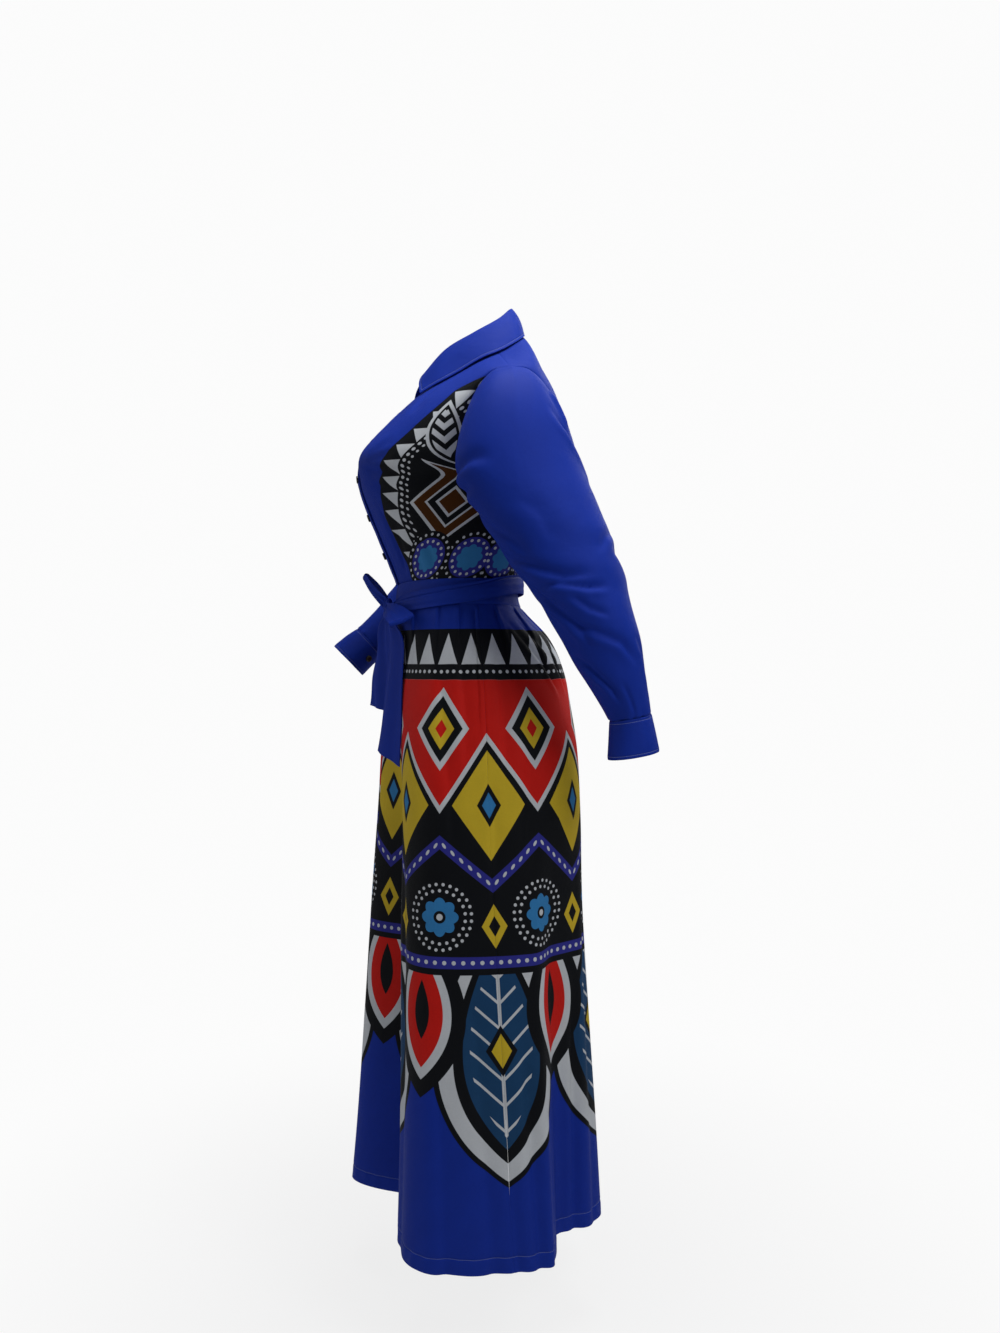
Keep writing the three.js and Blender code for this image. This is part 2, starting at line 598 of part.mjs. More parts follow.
// A point of a sleeve or cuff section.
function sectionPoint(row, turn) {
  const middleX = (row.inX + row.outX) / 2;
  const middleY = (row.frontY + row.backY) / 2;
  const middleZ = (row.frontZ + row.backZ) / 2;
  const sideways = Math.cos(turn) * ((row.outX - row.inX) / 2);
  const ahead = Math.sin(turn) / 2;
  return new THREE.Vector3(
    middleX + sideways,
    middleY + ahead * (row.frontY - row.backY),
    middleZ + ahead * (row.frontZ - row.backZ),
  );
}

// The sleeve's cap leaves the armhole outwards and turns down into the first section.
function capPoint(table, turn, t) {
  const clear = 0.7;
  const from = armholePoint(turn).add(new THREE.Vector3(clear, 0, 0));
  const first = sectionPoint(rowAt(table, 0), turn);
  const next = sectionPoint(rowAt(table, 0.3), turn);
  const low = (1 - Math.cos(turn)) / 2;
  const leave = new THREE.Vector3(lerp(1, 0.55, low), -0.3 * Math.sin(turn), lerp(-0.25, -1, low));
  const reach = from.distanceTo(first);
  leave.normalize().multiplyScalar(reach * lerp(1.15, 0.8, low));
  const arrive = next.sub(first).normalize().multiplyScalar(reach * 0.9);
  const t2 = t * t;
  const t3 = t2 * t;
  return from
    .multiplyScalar(2 * t3 - 3 * t2 + 1)
    .addScaledVector(leave, t3 - 2 * t2 + t)
    .addScaledVector(first, 3 * t2 - 2 * t3)
    .addScaledVector(arrive, t3 - t2);
}

function sleeveFold(along, turn) {
  return SLEEVE_FOLDS.reduce((sum, fold) => {
    const near = Math.exp(-(((along - fold.along) / fold.width) ** 2));
    return sum + fold.depth * near * Math.sin(fold.waves * turn + fold.turn + 20 * (along - fold.along));
  }, 0);
}

function sleeve(table, side) {
  const turns = range(FINE.sleeveRound)
    .slice(0, -1)
    .map((share) => share * 2 * Math.PI);
  const capShare = 0.28;
  const cap = range(FINE.sleeveCap)
    .slice(0, -1)
    .map((t) => turns.map((turn) => capPoint(table, turn, t)));
  const arm = range(FINE.sleeveDown).map((t) => {
    const row = rowAt(table, t * (table.length - 1));
    const centre = sectionPoint(row, 0).add(sectionPoint(row, Math.PI)).multiplyScalar(0.5);
    return turns.map((turn) => {
      const point = sectionPoint(row, turn);
      const ease = smooth(t * 4) * smooth((1 - t) * 6);
      const fold = ease * sleeveFold(lerp(capShare, 1, t), turn);
      return point.addScaledVector(point.clone().sub(centre).normalize(), -fold);
    });
  });
  const grid = [...cap, ...arm].map((line) => line.map((p) => new THREE.Vector3(side * p.x, p.y, p.z)));
  return wall(grid, { ring: true, middle: lineMiddle(grid) });
}

// The middle of whichever row of a grid a point belongs to.
function lineMiddle(grid) {
  const middles = new Map();
  for (const line of grid) {
    const sum = line.reduce((total, p) => total.add(p), new THREE.Vector3());
    sum.divideScalar(line.length);
    line.forEach((p) => middles.set(p, sum));
  }
  return (point) => middles.get(point);
}

// A cuff starts where its sleeve ends, a seam's space further down the arm.
function cuffRows(sleeveTable, table) {
  const end = sleeveTable.at(-1);
  const next = table[0];
  const share = (2 * SEAM_GAP) / Math.hypot(next.frontY - end.frontY, next.frontZ - end.frontZ);
  const start = {};
  for (const name of Object.keys(end)) start[name] = lerp(end[name], next[name], share);
  return [start, ...table];
}

function cuff(rows, side) {
  const turns = range(FINE.cuffRound)
    .slice(0, -1)
    .map((share) => share * 2 * Math.PI);
  const grid = rows.map((row) =>
    turns.map((turn) => {
      const point = sectionPoint(row, turn);
      return new THREE.Vector3(side * point.x, point.y, point.z);
    }),
  );
  return wall(grid, { ring: true, middle: lineMiddle(grid), thickness: 2.2 });
}

// A point of the waistband or the skirt at an angle from the front.
function skirtPoint(angle, z, proud = 0) {
  const row = rowAt(SKIRT, placeOfHeight(SKIRT, z));
  const ahead = forward(angle, row.square);
  const x = row.side * across(angle, row.square);
  const y = ahead > 0 ? lerp(row.seamY, row.front, ahead) : lerp(row.seamY, row.back, -ahead);
  const centre = new THREE.Vector3(0, row.seamY, z);
  const point = new THREE.Vector3(x, y, z);
  const out = point.clone().sub(centre).normalize();
  return point.addScaledVector(out, proud - skirtFold(angle, z));
}

// How far the skirt's folds and pleats go in at an angle and a height.
function skirtFold(angle, z) {
  const turn = THREE.MathUtils.radToDeg(angle);
  const wrapped = (at) => THREE.MathUtils.euclideanModulo(turn - at + 180, 360) - 180;
  let depth = 0;
  for (const fold of SKIRT_FOLDS) {
    const away = wrapped(fold.at);
    const reach = Math.abs(away) / (away < 0 ? fold.before : fold.after);
    const grown = clamp((fold.top - z) / (fold.top - HEM_Z), 0, 1) ** 0.75;
    if (reach < 1) depth += fold.depth * grown * Math.cos((Math.PI / 2) * reach) ** 2;
  }
  for (const pleat of WAIST_PLEATS) {
    const reach = Math.abs(wrapped(pleat.at)) / pleat.half;
    const drop = (WAISTBAND_BOTTOM_Z - z) / pleat.length;
    if (reach < 1 && drop > 0 && drop < 1) {
      depth += pleat.depth * smooth(drop * 8) * (1 - drop) * Math.cos((Math.PI / 2) * reach) ** 2;
    }
  }
  return depth;
}

const skirtMiddle = (point) => new THREE.Vector3(0, -25, point.z);

function skirtPanel(middleAngle) {
  const gapAngle = SEAM_GAP / 2 / 140;
  const quarter = Math.PI / 2 - gapAngle;
  const grid = range(FINE.skirtDown).map((v) => {
    const z = lerp(WAISTBAND_BOTTOM_Z - SEAM_GAP, HEM_Z, v ** 1.25);
    return range(FINE.skirtAcross).map((u) => skirtPoint(middleAngle + lerp(-quarter, quarter, u), z));
  });
  const flatten = (normal, i, j, rows, columns) => {
    if (j === 0 || j === columns - 1) {
      normal.y = 0;
    }
    if (i === 0 || i === rows - 1) {
      normal.z = 0;
    }
    normal.normalize();
  };
  return wall(grid, { middle: skirtMiddle, flatten });
}

function waistRing(heights, proud, count) {
  const turns = range(count)
    .slice(0, -1)
    .map((share) => share * 2 * Math.PI);
  return heights.map((height) => turns.map((turn) => skirtPoint(turn, height(turn), proud)));
}

function waistband() {
  const grid = waistRing([() => WAIST_Z - SEAM_GAP, () => WAISTBAND_BOTTOM_Z], 0, FINE.beltRound);
  const flatten = (normal) => {
    normal.z = 0;
    normal.normalize();
  };
  return wall(grid, { ring: true, middle: skirtMiddle, flatten });
}

// The belt lies outside the waistband and the skirt's top edge, and rises towards the back.
const beltZ = (turn) => BELT_FRONT_Z + (BELT_BACK_RISE * (1 - Math.cos(turn))) / 2;

function belt() {
  const turns = range(FINE.beltRound)
    .slice(0, -1)
    .map((share) => share * 2 * Math.PI);
  const grid = [1, 0, -1].map((edge) =>
    turns.map((turn) => {
      const proud = BELT_CLEARANCE + (edge === 0 ? BELT_SWELL : 0) + (edge < 0 ? BELT_FLARE : 0);
      const point = skirtPoint(turn, WAISTBAND_BOTTOM_Z - 0.01, proud);
      const pinch = BELT_PINCH * Math.exp(-((Math.sin(turn / 2) / BELT_PINCH_WIDTH) ** 2));
      point.z = beltZ(turn) + (edge * BELT_HEIGHT * (1 - pinch)) / 2;
      return point;
    }),
  );
  return wall(grid, { ring: true, middle: skirtMiddle });
}

// The outline of a bow's loop seen along its cloth: up one side to the fold and back down the other.
function loopOutline(length, bulge, innerBulge) {
  const side = (fullest) =>
    range(8).map((u) => {
      const plain = lerp(LOOP_START_HALF, LOOP_TIP_HALF, u);
      return {
        along: lerp(LOOP_START_HALF, length - LOOP_TIP_HALF, u),
        out: plain + (fullest - plain) * Math.sin(Math.PI * u) ** 1.2,
      };
    });
  const end = (centre, half, from) =>
    [1, 2, 3].map((i) => {
      const turn = from + (i * Math.PI) / 4;
      return { along: centre + half * Math.sin(turn), out: half * Math.cos(turn) };
    });
  const tip = end(length - LOOP_TIP_HALF, LOOP_TIP_HALF, 0);
  const back = side(innerBulge).map(({ along, out }) => ({ along, out: -out }));
  return [...side(bulge), ...tip, ...back.reverse(), ...end(LOOP_START_HALF, LOOP_START_HALF, Math.PI)];
}

// A loop of the bow: a strip of cloth bent round from the knot to its tip and back.
function bowLoop({ start, tip, across: startAcross, tipAcross, width, tipWidth, bulge, innerBulge }) {
  const from = new THREE.Vector3(...start);
  const along = new THREE.Vector3(...tip).sub(from);
  const length = along.length();
  along.normalize();
  const overAt = (share) => {
    const over = new THREE.Vector3(...startAcross).lerp(new THREE.Vector3(...tipAcross), clamp(share, 0, 1));
    return over.addScaledVector(along, -over.dot(along)).normalize();
  };
  const outline = loopOutline(length, bulge, innerBulge);
  const grid = [-1, -0.35, 0.35, 1].map((edge) =>
    outline.map((place) => {
      const share = place.along / length;
      const over = overAt(share);
      const outwards = over.clone().cross(along).normalize();
      if (outwards.y > 0) outwards.negate();
      const half = lerp(width, tipWidth, share) / 2;
      const curl = 1 - LOOP_CURL * edge ** 2;
      return from
        .clone()
        .addScaledVector(along, place.along)
        .addScaledVector(outwards, place.out * curl)
        .addScaledVector(over, edge * half);
    }),
  );
  const loopMiddle = from.clone().addScaledVector(along, length / 2);
  const middle = (point) => {
    const away = point.clone().sub(loopMiddle);
    const over = overAt(0.5 + away.dot(along) / length);
    return loopMiddle.clone().addScaledVector(over, away.dot(over));
  };
  return wall(grid, { ring: true, middle, thickness: 1.4 });
}

function beltTail(table) {
  const grid = range(9).map((v) => {
    const row = rowAt(table, v * (table.length - 1));
    const inner = new THREE.Vector3(row.innerX, row.innerY, row.innerZ);
    const outer = new THREE.Vector3(row.outerX, row.outerY, row.outerZ);
    return range(4).map((u) => {
      const crease = 2 * Math.sin(Math.PI * u) * Math.sin(2.2 * v);
      return inner.clone().lerp(outer, u).add(new THREE.Vector3(0, -crease, 0));
    });
  });
  return wall(grid, { middle: skirtMiddle });
}

function knot() {
  const geometry = new THREE.SphereGeometry(1, 14, 9);
  geometry.scale(BOW_KNOT.radius, BOW_KNOT.radius * BOW_KNOT.flatness, BOW_KNOT.height / 2);
  geometry.translate(BOW_KNOT.x, BOW_KNOT.y, BOW_KNOT.z);
  return geometry;
}

// A button with a rounded rim and its flat face to the front of a point.
function button(point, direction, radius = BUTTON_RADIUS) {
  const half = BUTTON_THICKNESS / 2;
  const profile = [
    new THREE.Vector2(0, -half),
    new THREE.Vector2(radius * 0.92, -half),
    new THREE.Vector2(radius, 0),
    new THREE.Vector2(radius * 0.86, half),
    new THREE.Vector2(0, half * 0.6),
  ];
  const geometry = new THREE.LatheGeometry(profile, 14);
  const turn = new THREE.Quaternion().setFromUnitVectors(new THREE.Vector3(0, 1, 0), direction);
  geometry.applyQuaternion(turn);
  const seat = point.clone().addScaledVector(direction, half + SEAM_GAP);
  geometry.translate(seat.x, seat.y, seat.z);
  return geometry;
}

function frontButton(z) {
  const level = placeOfHeight(FRONT, z);
  const x = -gape(z) - 2;
  const angle = bodiceAngle(FRONT, level, x);
  const seat = liftedBodicePoint(FRONT, level, angle, BAND_LIFT);
  const direction = liftedBodicePoint(FRONT, level, angle, BAND_LIFT + 10).sub(seat).normalize();
  return button(seat.addScaledVector(direction, 0.2), direction);
}

// A cuff's button lies flat on it, halfway down.
function cuffButton(rows, side, turn) {
  const step = 0.1;
  const seat = sectionPoint(rows[1], turn);
  const centre = sectionPoint(rows[1], 0).add(sectionPoint(rows[1], Math.PI)).multiplyScalar(0.5);
  const round = sectionPoint(rows[1], turn + step).sub(sectionPoint(rows[1], turn - step));
  const down = sectionPoint(rows[2], turn).sub(sectionPoint(rows[0], turn));
  const direction = round.cross(down).normalize();
  if (direction.dot(seat.clone().sub(centre)) < 0) direction.negate();
  seat.x *= side;
  direction.x *= side;
  return button(seat.addScaledVector(direction, SEAM_GAP), direction);
}

const leftCuff = cuffRows(HANGING_SLEEVE, HANGING_CUFF);
const rightCuff = cuffRows(BENT_SLEEVE, BENT_CUFF);

const dress = new THREE.Group();
dress.add(piece("front_left", frontPanel(1, BAND_HALF + SEAM_GAP), printed));
dress.add(piece("front_right", frontPanel(-1, BAND_HALF + SEAM_GAP), printed));
dress.add(piece("back_bodice", backPanel(), printed));
dress.add(piece("front_band_left", buttonBand(-BAND_HALF + 1, BAND_HALF, 1, 0), royalBlue));
dress.add(piece("front_band_right", buttonBand(-BAND_HALF - 5, BAND_HALF, -1, BAND_LIFT), royalBlue));
dress.add(piece("collar", collarLeaf(), royalBlue));
dress.add(piece("collar_stand", collarStand(), royalBlue));
dress.add(piece("waistband", waistband(), royalBlue));
dress.add(piece("skirt_front", skirtPanel(0), printed));
dress.add(piece("skirt_back", skirtPanel(Math.PI), printed));
dress.add(piece("sleeve_left", sleeve(HANGING_SLEEVE, 1), royalBlue));
dress.add(piece("sleeve_right", sleeve(BENT_SLEEVE, -1), royalBlue));
dress.add(piece("cuff_left", cuff(leftCuff, 1), royalBlue));
dress.add(piece("cuff_right", cuff(rightCuff, -1), royalBlue));
dress.add(piece("cuff_button_left", cuffButton(leftCuff, 1, degrees(-120)), black));
dress.add(piece("cuff_button_right", cuffButton(rightCuff, -1, degrees(216)), black));
dress.add(piece("belt", belt(), royalBlue));
dress.add(piece("belt_knot", knot(), royalBlue));
dress.add(piece("bow_loop_far", bowLoop(FAR_LOOP), royalBlue));
dress.add(piece("bow_loop_near", bowLoop(NEAR_LOOP), royalBlue));
dress.add(piece("belt_tail_far", beltTail(FAR_TAIL), royalBlue));
dress.add(piece("belt_tail_near", beltTail(NEAR_TAIL), royalBlue));
FRONT_BUTTON_Z.forEach((z, i) => dress.add(piece(`front_button_${i + 1}`, frontButton(z), black)));

export default dress;
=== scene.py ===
"""A long-sleeved shirt maxi dress with a tie belt, in its worn shape with no wearer inside."""

import math

import bmesh
import bpy
import numpy as np
from mathutils import Matrix, Vector


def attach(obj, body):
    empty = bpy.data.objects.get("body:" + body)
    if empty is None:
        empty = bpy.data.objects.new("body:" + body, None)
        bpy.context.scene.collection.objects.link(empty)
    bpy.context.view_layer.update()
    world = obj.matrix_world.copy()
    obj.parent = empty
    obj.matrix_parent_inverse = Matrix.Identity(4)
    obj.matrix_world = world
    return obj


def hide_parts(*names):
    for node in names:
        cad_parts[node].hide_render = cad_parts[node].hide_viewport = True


bl_info = {
    "name": "Printed Maxi Dress",
    "version": (1, 0, 0),
    "blender": (4, 5, 0),
    "location": "View3D > Sidebar > Dress",
    "description": "Builds the cloth pieces of a belted shirt maxi dress around its packed solids",
    "category": "Add Mesh",
}

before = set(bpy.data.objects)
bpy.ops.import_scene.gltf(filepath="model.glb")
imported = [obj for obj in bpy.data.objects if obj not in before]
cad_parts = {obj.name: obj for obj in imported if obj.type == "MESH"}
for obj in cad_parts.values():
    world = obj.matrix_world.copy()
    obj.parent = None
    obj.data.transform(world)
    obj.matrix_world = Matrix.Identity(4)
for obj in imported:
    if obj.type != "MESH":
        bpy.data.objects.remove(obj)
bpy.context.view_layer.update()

# The tables below are in millimetres and become metres when a mesh is made.
MM = 0.001

# Sizes that the solids are built from
BAND_HALF = 15.0
NECK_HALF_WIDTH = 70.0
NECK_DROP_FRONT = 2.5
NECK_DROP_BACK = 1.07
THROAT_GAPE = 20.0
GAPE_BOTTOM_Z = -165.0
GAPE_TOP_Z = -55.0
UNDERARM_LEVEL = 6
WAIST_LEVEL = 10
WAIST_Z = -347.0
WAISTBAND_BOTTOM_Z = -384.0
HEM_Z = -1287.5
BUST_X = 78.0
BUST_Z = -178.0
BUST_SPREAD = 44.0
BUST_FULLNESS = 9.0
CHEST_SQUARENESS = 0.06
BELT_FRONT_Z = -381.0
BELT_BACK_RISE = 32.0
BELT_PINCH = 0.6
BELT_PINCH_WIDTH = 0.17
BELT_SWELL = 1.2
BELT_FLARE = 1.0
BELT_HEIGHT = 27.0
BELT_CLEARANCE = 2.9
BAND_LIFT = 2.3
SEAM_GAP = 0.1
COLLAR_FRONT_TURN = math.asin((BAND_HALF + THROAT_GAPE - 14) / NECK_HALF_WIDTH)
FRONT_BUTTON_Z = (-82.0, -128.0, -186.0, -244.0, -302.0)
UNDER_BAND_START = -BAND_HALF + 1
OVER_BAND_START = -BAND_HALF - 5

# Values that only the cloth and its stitching need
HEM_STITCH_RISE = 20.0
RIDGE_SHARE = 0.45
FAR_BEHIND = np.array([0.0, 60.0, 0.0])
SHARP_ANGLE = math.radians(55)
BUTTON_SHARP_ANGLE = math.radians(40)
BODY_MIDDLE = np.array([0.0, -20.0, 0.0])
WAIST_MIDDLE_Y = -45.0

# Camera, lights (name, place, size, power and aim) and surround, in metres and watts
CAMERA_PLACE = (1.553, -0.229, -0.4735)
CAMERA_WAY = (-0.9877, 0.1564, 0)
CAMERA_LENS = 27.03
CAMERA_SENSOR = 36.0
LIGHTS = (
    ("side light", (1.4, 0.75, 0.45), 0.7, 11, (0.1, 0, -0.35)),
    ("overhead light", (0.25, 0.1, 1.2), 1.2, 24, (0, 0, -0.1)),
    ("back light", (-1.3, 1.5, 0.7), 1.8, 14, (0, 0, -0.5)),
    ("front fill", (-0.5, -2.3, 0.2), 2.2, 11, (0, 0, -0.5)),
)
SURROUND_LIGHT = (0.13, 0.13, 0.14, 1)
SURROUND_WHITE = (0.97, 0.97, 0.97, 1)

# Bodice sections from the shoulder seam to the waist seam: z, y, edge x, edge y, edge z, fall
FRONT = np.array(
    [
        (34, 0, 190, 0, -58, 1),
        (8, -30, 186, -23, -64, 1.1),
        (-22, -70, 181, -43, -87, 1.2),
        (-60, -116, 176, -56, -120, 1.6),
        (-106, -160, 170, -58, -155, 2),
        (-154, -197, 163, -46, -184, 2),
        (-198, -199, 158, 10, -207, 2),
        (-244, -184, 152, 0, -245, 2),
        (-284, -168, 146, -12, -285, 2),
        (-319, -153, 141, -24, -320, 2),
        (WAIST_Z, -143, 138, -34, WAIST_Z, 2),
    ]
)
BACK = np.array(
    [
        (34, 0, 190, 0, -58, 1),
        (50, 43, 186, 25, -60, 1.3),
        (2, 62, 181, 46, -77, 1.6),
        (-43, 80, 176, 62, -103, 1.9),
        (-91, 94, 171, 74, -137, 2),
        (-142, 104, 164, 66, -175, 2),
        (-192, 102, 158, 10, -207, 2),
        (-240, 87, 152, 0, -245, 2),
        (-281, 69, 146, -12, -285, 2),
        (-317, 52, 141, -24, -320, 2),
        (WAIST_Z, 40, 138, -34, WAIST_Z, 2),
    ]
)
SIDE_SEAM = FRONT[UNDERARM_LEVEL:, 2:5]

# Waistband and skirt sections: z, front, back, side, y of the side seam, squareness
SKIRT = np.array(
    [
        (WAIST_Z, -143, 40, 138, -34, 0),
        (WAISTBAND_BOTTOM_Z, -147, 47, 141, -36, 0),
        (-430, -154, 91, 152, -35, 0),
        (-480, -161, 113, 163, -33, 0.01),
        (-530, -166, 121, 171, -31, 0.03),
        (-600, -170, 129, 178, -29, 0.05),
        (-700, -176, 134, 184, -26, 0.05),
        (-850, -187, 139, 194, -20, 0.05),
        (-1000, -196, 147, 206, -13, 0.05),
        (-1150, -206, 155, 219, -6, 0.05),
        (HEM_Z, -217, 161, 230, 0, 0.05),
    ]
)
# Long folds: degrees round from the front, depth at the hem, width before and after, starting height
SKIRT_FOLDS = (
    (6, 98, 20, 61, -400),
    (124, 60, 19, 36, -690),
    (172, 26, 16, 18, -560),
    (-46, 66, 19, 19, -430),
    (-92, 20, 14, 16, -820),
    (-128, 50, 17, 15, -640),
)
# Pressed pleats: degrees round, depth, how far down they reach, and which way the fold lies
WAIST_PLEATS = (
    (38, 5, 100, 1),
    (60, 6, 70, 1),
    (76, 7, 75, 1),
    (87, 9, 190, -1),
    (106, 8, 120, -1),
    (132, 7, 110, -1),
    (156, 6, 90, -1),
    (-36, 5, 90, -1),
    (-60, 7, 120, -1),
    (-80, 8, 170, 1),
    (-106, 8, 140, 1),
    (-134, 7, 110, 1),
    (-158, 6, 90, 1),
)

# Sleeve and cuff sections, as on the wearer's left: front y, front z, back y, back z, inner x, outer x
HANGING_SLEEVE = np.array(
    [
        (-70, -236, 99, -216, 164, 278),
        (-28, -300, 120, -272, 172, 290),
        (17, -368, 138, -332, 186, 298),
        (56, -430, 157, -398, 197, 298),
        (92, -489, 171, -463, 204, 293),
        (115, -526, 179, -511, 210, 286),
        (127, -547, 183, -536, 216, 281),
    ],
    float,
)
BENT_SLEEVE = np.array(
    [
        (-73, -222, 102, -218, 164, 280),
        (-75, -242, 84, -262, 173, 298),
        (-78, -253, 54, -308, 187, 313),
        (-90, -266, 6, -354, 201, 320),
        (-120, -310, -48, -386, 204, 309),
        (-156, -358, -98, -417, 200, 287),
        (-187, -393, -139, -443, 190, 262),
        (-201, -407, -157, -455, 187, 250),
    ],
    float,
)
HANGING_CUFF = np.array([(126, -572, 189, -562, 213, 283), (124, -599, 194, -587, 212, 284)], float)
BENT_CUFF = np.array([(-220, -420, -174, -470, 180, 239), (-242, -438, -193, -489, 172, 229)], float)

# Collar: fold x, y, z; lower edge x and level, which is negative on the front
COLLAR = np.array(
    [
        (28, -107, -30, 63, -2.9),
        (47, -74, 5, 79, -2.15),
        (61, -34, 28, 90, -1.2),
        (58, 4, 52, 92, 0.15),
        (39, 27, 75, 62, 0.95),
        (0, 36, 84, 0, 1.2),
    ]
)
COLLAR_LIFT = 4.0

# Bow. Each loop is a strip that runs from the knot to a fold at its tip and back: where it starts and ends,
# the way its width runs and how wide it is at both ends, and how far it stands out in front and behind.
FAR_LOOP = {
    "start": (-4, -161.5, -374),
    "tip": (-40, -193.2, -328.5),
    "across": (0.63, 0.31, 0.71),
    "tip_across": (0.63, 0.31, 0.71),
    "width": 20,
    "tip_width": 9,
    "bulge": 7.5,
    "inner_bulge": 6,
}
NEAR_LOOP = {
    "start": (20.6, -161, -384.5),
    "tip": (112, -143, -408),
    "across": (0.1, 0.25, 0.96),
    "tip_across": (-0.2, 0.88, 0.43),
    "width": 16,
    "tip_width": 38,
    "bulge": 10,
    "inner_bulge": 2,
}
LOOP_START_HALF = 3.0
LOOP_TIP_HALF = 4.0
# Tails: inner and outer edge of each row, as x, y, z
FAR_TAIL = np.array(
    [
        (8, -161, -392.6, -3, -161, -392.6),
        (14, -160, -411, -10, -172, -410),
        (14, -158, -448, -18, -176, -448),
        (15, -159, -493, -23, -182, -492),
        (14, -162, -542, -25, -185, -534),
    ]
)
NEAR_TAIL = np.array(
    [
        (9.5, -162, -392.4, 17, -161, -392.4),
        (24, -163, -407, 52, -153, -408),
        (30, -161, -432, 76, -143, -433),
        (33, -163, -480, 82, -141, -480),
        (35, -167.5, -538, 85, -142.5, -540),
        (36, -177, -600, 88, -144, -620),
    ]
)
KNOT_PLACE = (6.0, -158.6, -381.0)


def smooth(t):
    """0 below 0, 1 above 1 and a soft step between."""
    t = np.clip(t, 0, 1)
    return t * t * (3 - 2 * t)


def mix(low, high, share):
    return low + (high - low) * share


def bell(value):
    """1 at 0, falling away softly on both sides."""
    return np.exp(-(value**2))


def hermite(start, end, leave, arrive, t):
    """A smooth way between two points that leaves and arrives in given directions."""
    t2 = t * t
    t3 = t2 * t
    ends = (2 * t3 - 3 * t2 + 1) * start + (3 * t2 - 2 * t3) * end
    return ends + (t3 - 2 * t2 + t) * leave + (t3 - t2) * arrive


def row_at(table, place):
    """All columns of a table at places between its rows, on smooth curves."""
    last = len(table) - 1
    place = np.clip(np.asarray(place, float), 0, last)
    index = np.minimum(place.astype(int), last - 1)
    padded = np.vstack([2 * table[0] - table[1], table, 2 * table[-1] - table[-2]])
    before, start, end, after = (padded[index + k] for k in range(4))
    return hermite(start, end, (end - before) / 2, (after - start) / 2, (place - index)[..., None])


def round_turns(columns):
    """Angles of a full turn, as one row."""
    return np.linspace(0, 2 * math.pi, columns + 1)[None, :-1]


def ring_middle(points):
    """The middle of each ring of points."""
    return points.mean(axis=1, keepdims=True) + 0 * points


def upright_middle(points, y):
    """Points on an upright line at the heights of other points."""
    return points * np.array([0, 0, 1]) + np.array([0, y, 0])


def place_of_height(table, z):
    """The place in a table where its falling first column has a given height."""
    places = np.linspace(0, len(table) - 1, 4001)
    return np.interp(-np.asarray(z, float), -row_at(table, places)[:, 0], places)


def across(angle, square):
    return (np.sin(angle) + square * np.sin(3 * angle)) / (1 - square)


def forward(angle, square):
    return (np.cos(angle) - square * np.cos(3 * angle)) / (1 - square)


def bodice_squareness(level):
    return CHEST_SQUARENESS * smooth((WAIST_LEVEL - level) / 5)


def bodice_section(table, level):
    level = np.asarray(level, float)
    row = row_at(table, level)
    seam = row_at(SIDE_SEAM, level - UNDERARM_LEVEL)
    row[..., 2:5] = np.where(level[..., None] < UNDERARM_LEVEL, row[..., 2:5], seam)
    return row


def bodice_point(table, level, angle):
    """A point of the bodice at a level and an angle from the mid-line."""
    row = bodice_section(table, level)
    square = bodice_squareness(level)
    share = across(angle, square)
    x = row[..., 2] * share
    z = mix(row[..., 0], row[..., 4], np.abs(share) ** row[..., 5])
    y = mix(row[..., 3], row[..., 1], forward(angle, square))
    if table is FRONT:
        sideways = (np.abs(x) - BUST_X) / BUST_SPREAD
        up_down = (z - BUST_Z) / BUST_SPREAD
        y = y - BUST_FULLNESS * np.exp(-(sideways**2) - up_down**2)
    return np.stack([x, y, z], axis=-1)


def bodice_angle(table, level, x):
    """The angle at which a section of the bodice is a given way from the mid-line."""
    wanted = np.abs(x) / bodice_section(table, level)[..., 2]
    square = bodice_squareness(level)
    low = np.zeros_like(wanted)
    high = np.full_like(wanted, math.pi / 2)
    for _ in range(30):
        middle = (low + high) / 2
        under = across(middle, square) < wanted
        low = np.where(under, middle, low)
        high = np.where(under, high, middle)
    return np.sign(x) * (low + high) / 2


def unit(vectors):
    return vectors / np.maximum(np.linalg.norm(vectors, axis=-1, keepdims=True), 1e-12)


def lifted_bodice_point(table, level, angle, lift):
    step = 0.02
    at = bodice_point(table, level, angle)
    along = bodice_point(table, level, angle + step) - bodice_point(table, level, angle - step)
    below = bodice_point(table, np.minimum(level + step, WAIST_LEVEL), angle)
    above = bodice_point(table, np.maximum(level - step, 0), angle)
    normal = unit(np.cross(along, below - above))
    facing = normal[..., 1] if table is BACK else -normal[..., 1]
    sign = np.where((facing > 0) | (normal[..., 2] > 0.5), 1.0, -1.0)
    return at + normal * (sign * lift)[..., None]


def gape(z):
    return THROAT_GAPE * smooth((z - GAPE_BOTTOM_Z) / (GAPE_TOP_Z - GAPE_BOTTOM_Z))


def neck_x(turn):
    return NECK_HALF_WIDTH * np.sin(turn)


def neck_level(turn, drop):
    return drop * np.cos(turn)


def spread(count, ends=0.0):
    """Shares from 0 to 1. ends: how much denser they are at both ends, where seams run."""
    even = np.linspace(0, 1, count)
    return even - ends * np.sin(2 * np.pi * even) / (2 * np.pi)


def grid_normals(points, ring):
    """Unit normals of a grid of points."""
    if ring:
        along_row = np.roll(points, -1, axis=1) - np.roll(points, 1, axis=1)
    else:
        along_row = np.gradient(points, axis=1)
    return unit(np.cross(along_row, np.gradient(points, axis=0)))


def outward(points, middle, ring):
    """Unit normals that point away from the middle of the piece."""
    normals = grid_normals(points, ring)
    facing = np.sum(normals * (points - middle))
    return normals if facing > 0 else -normals


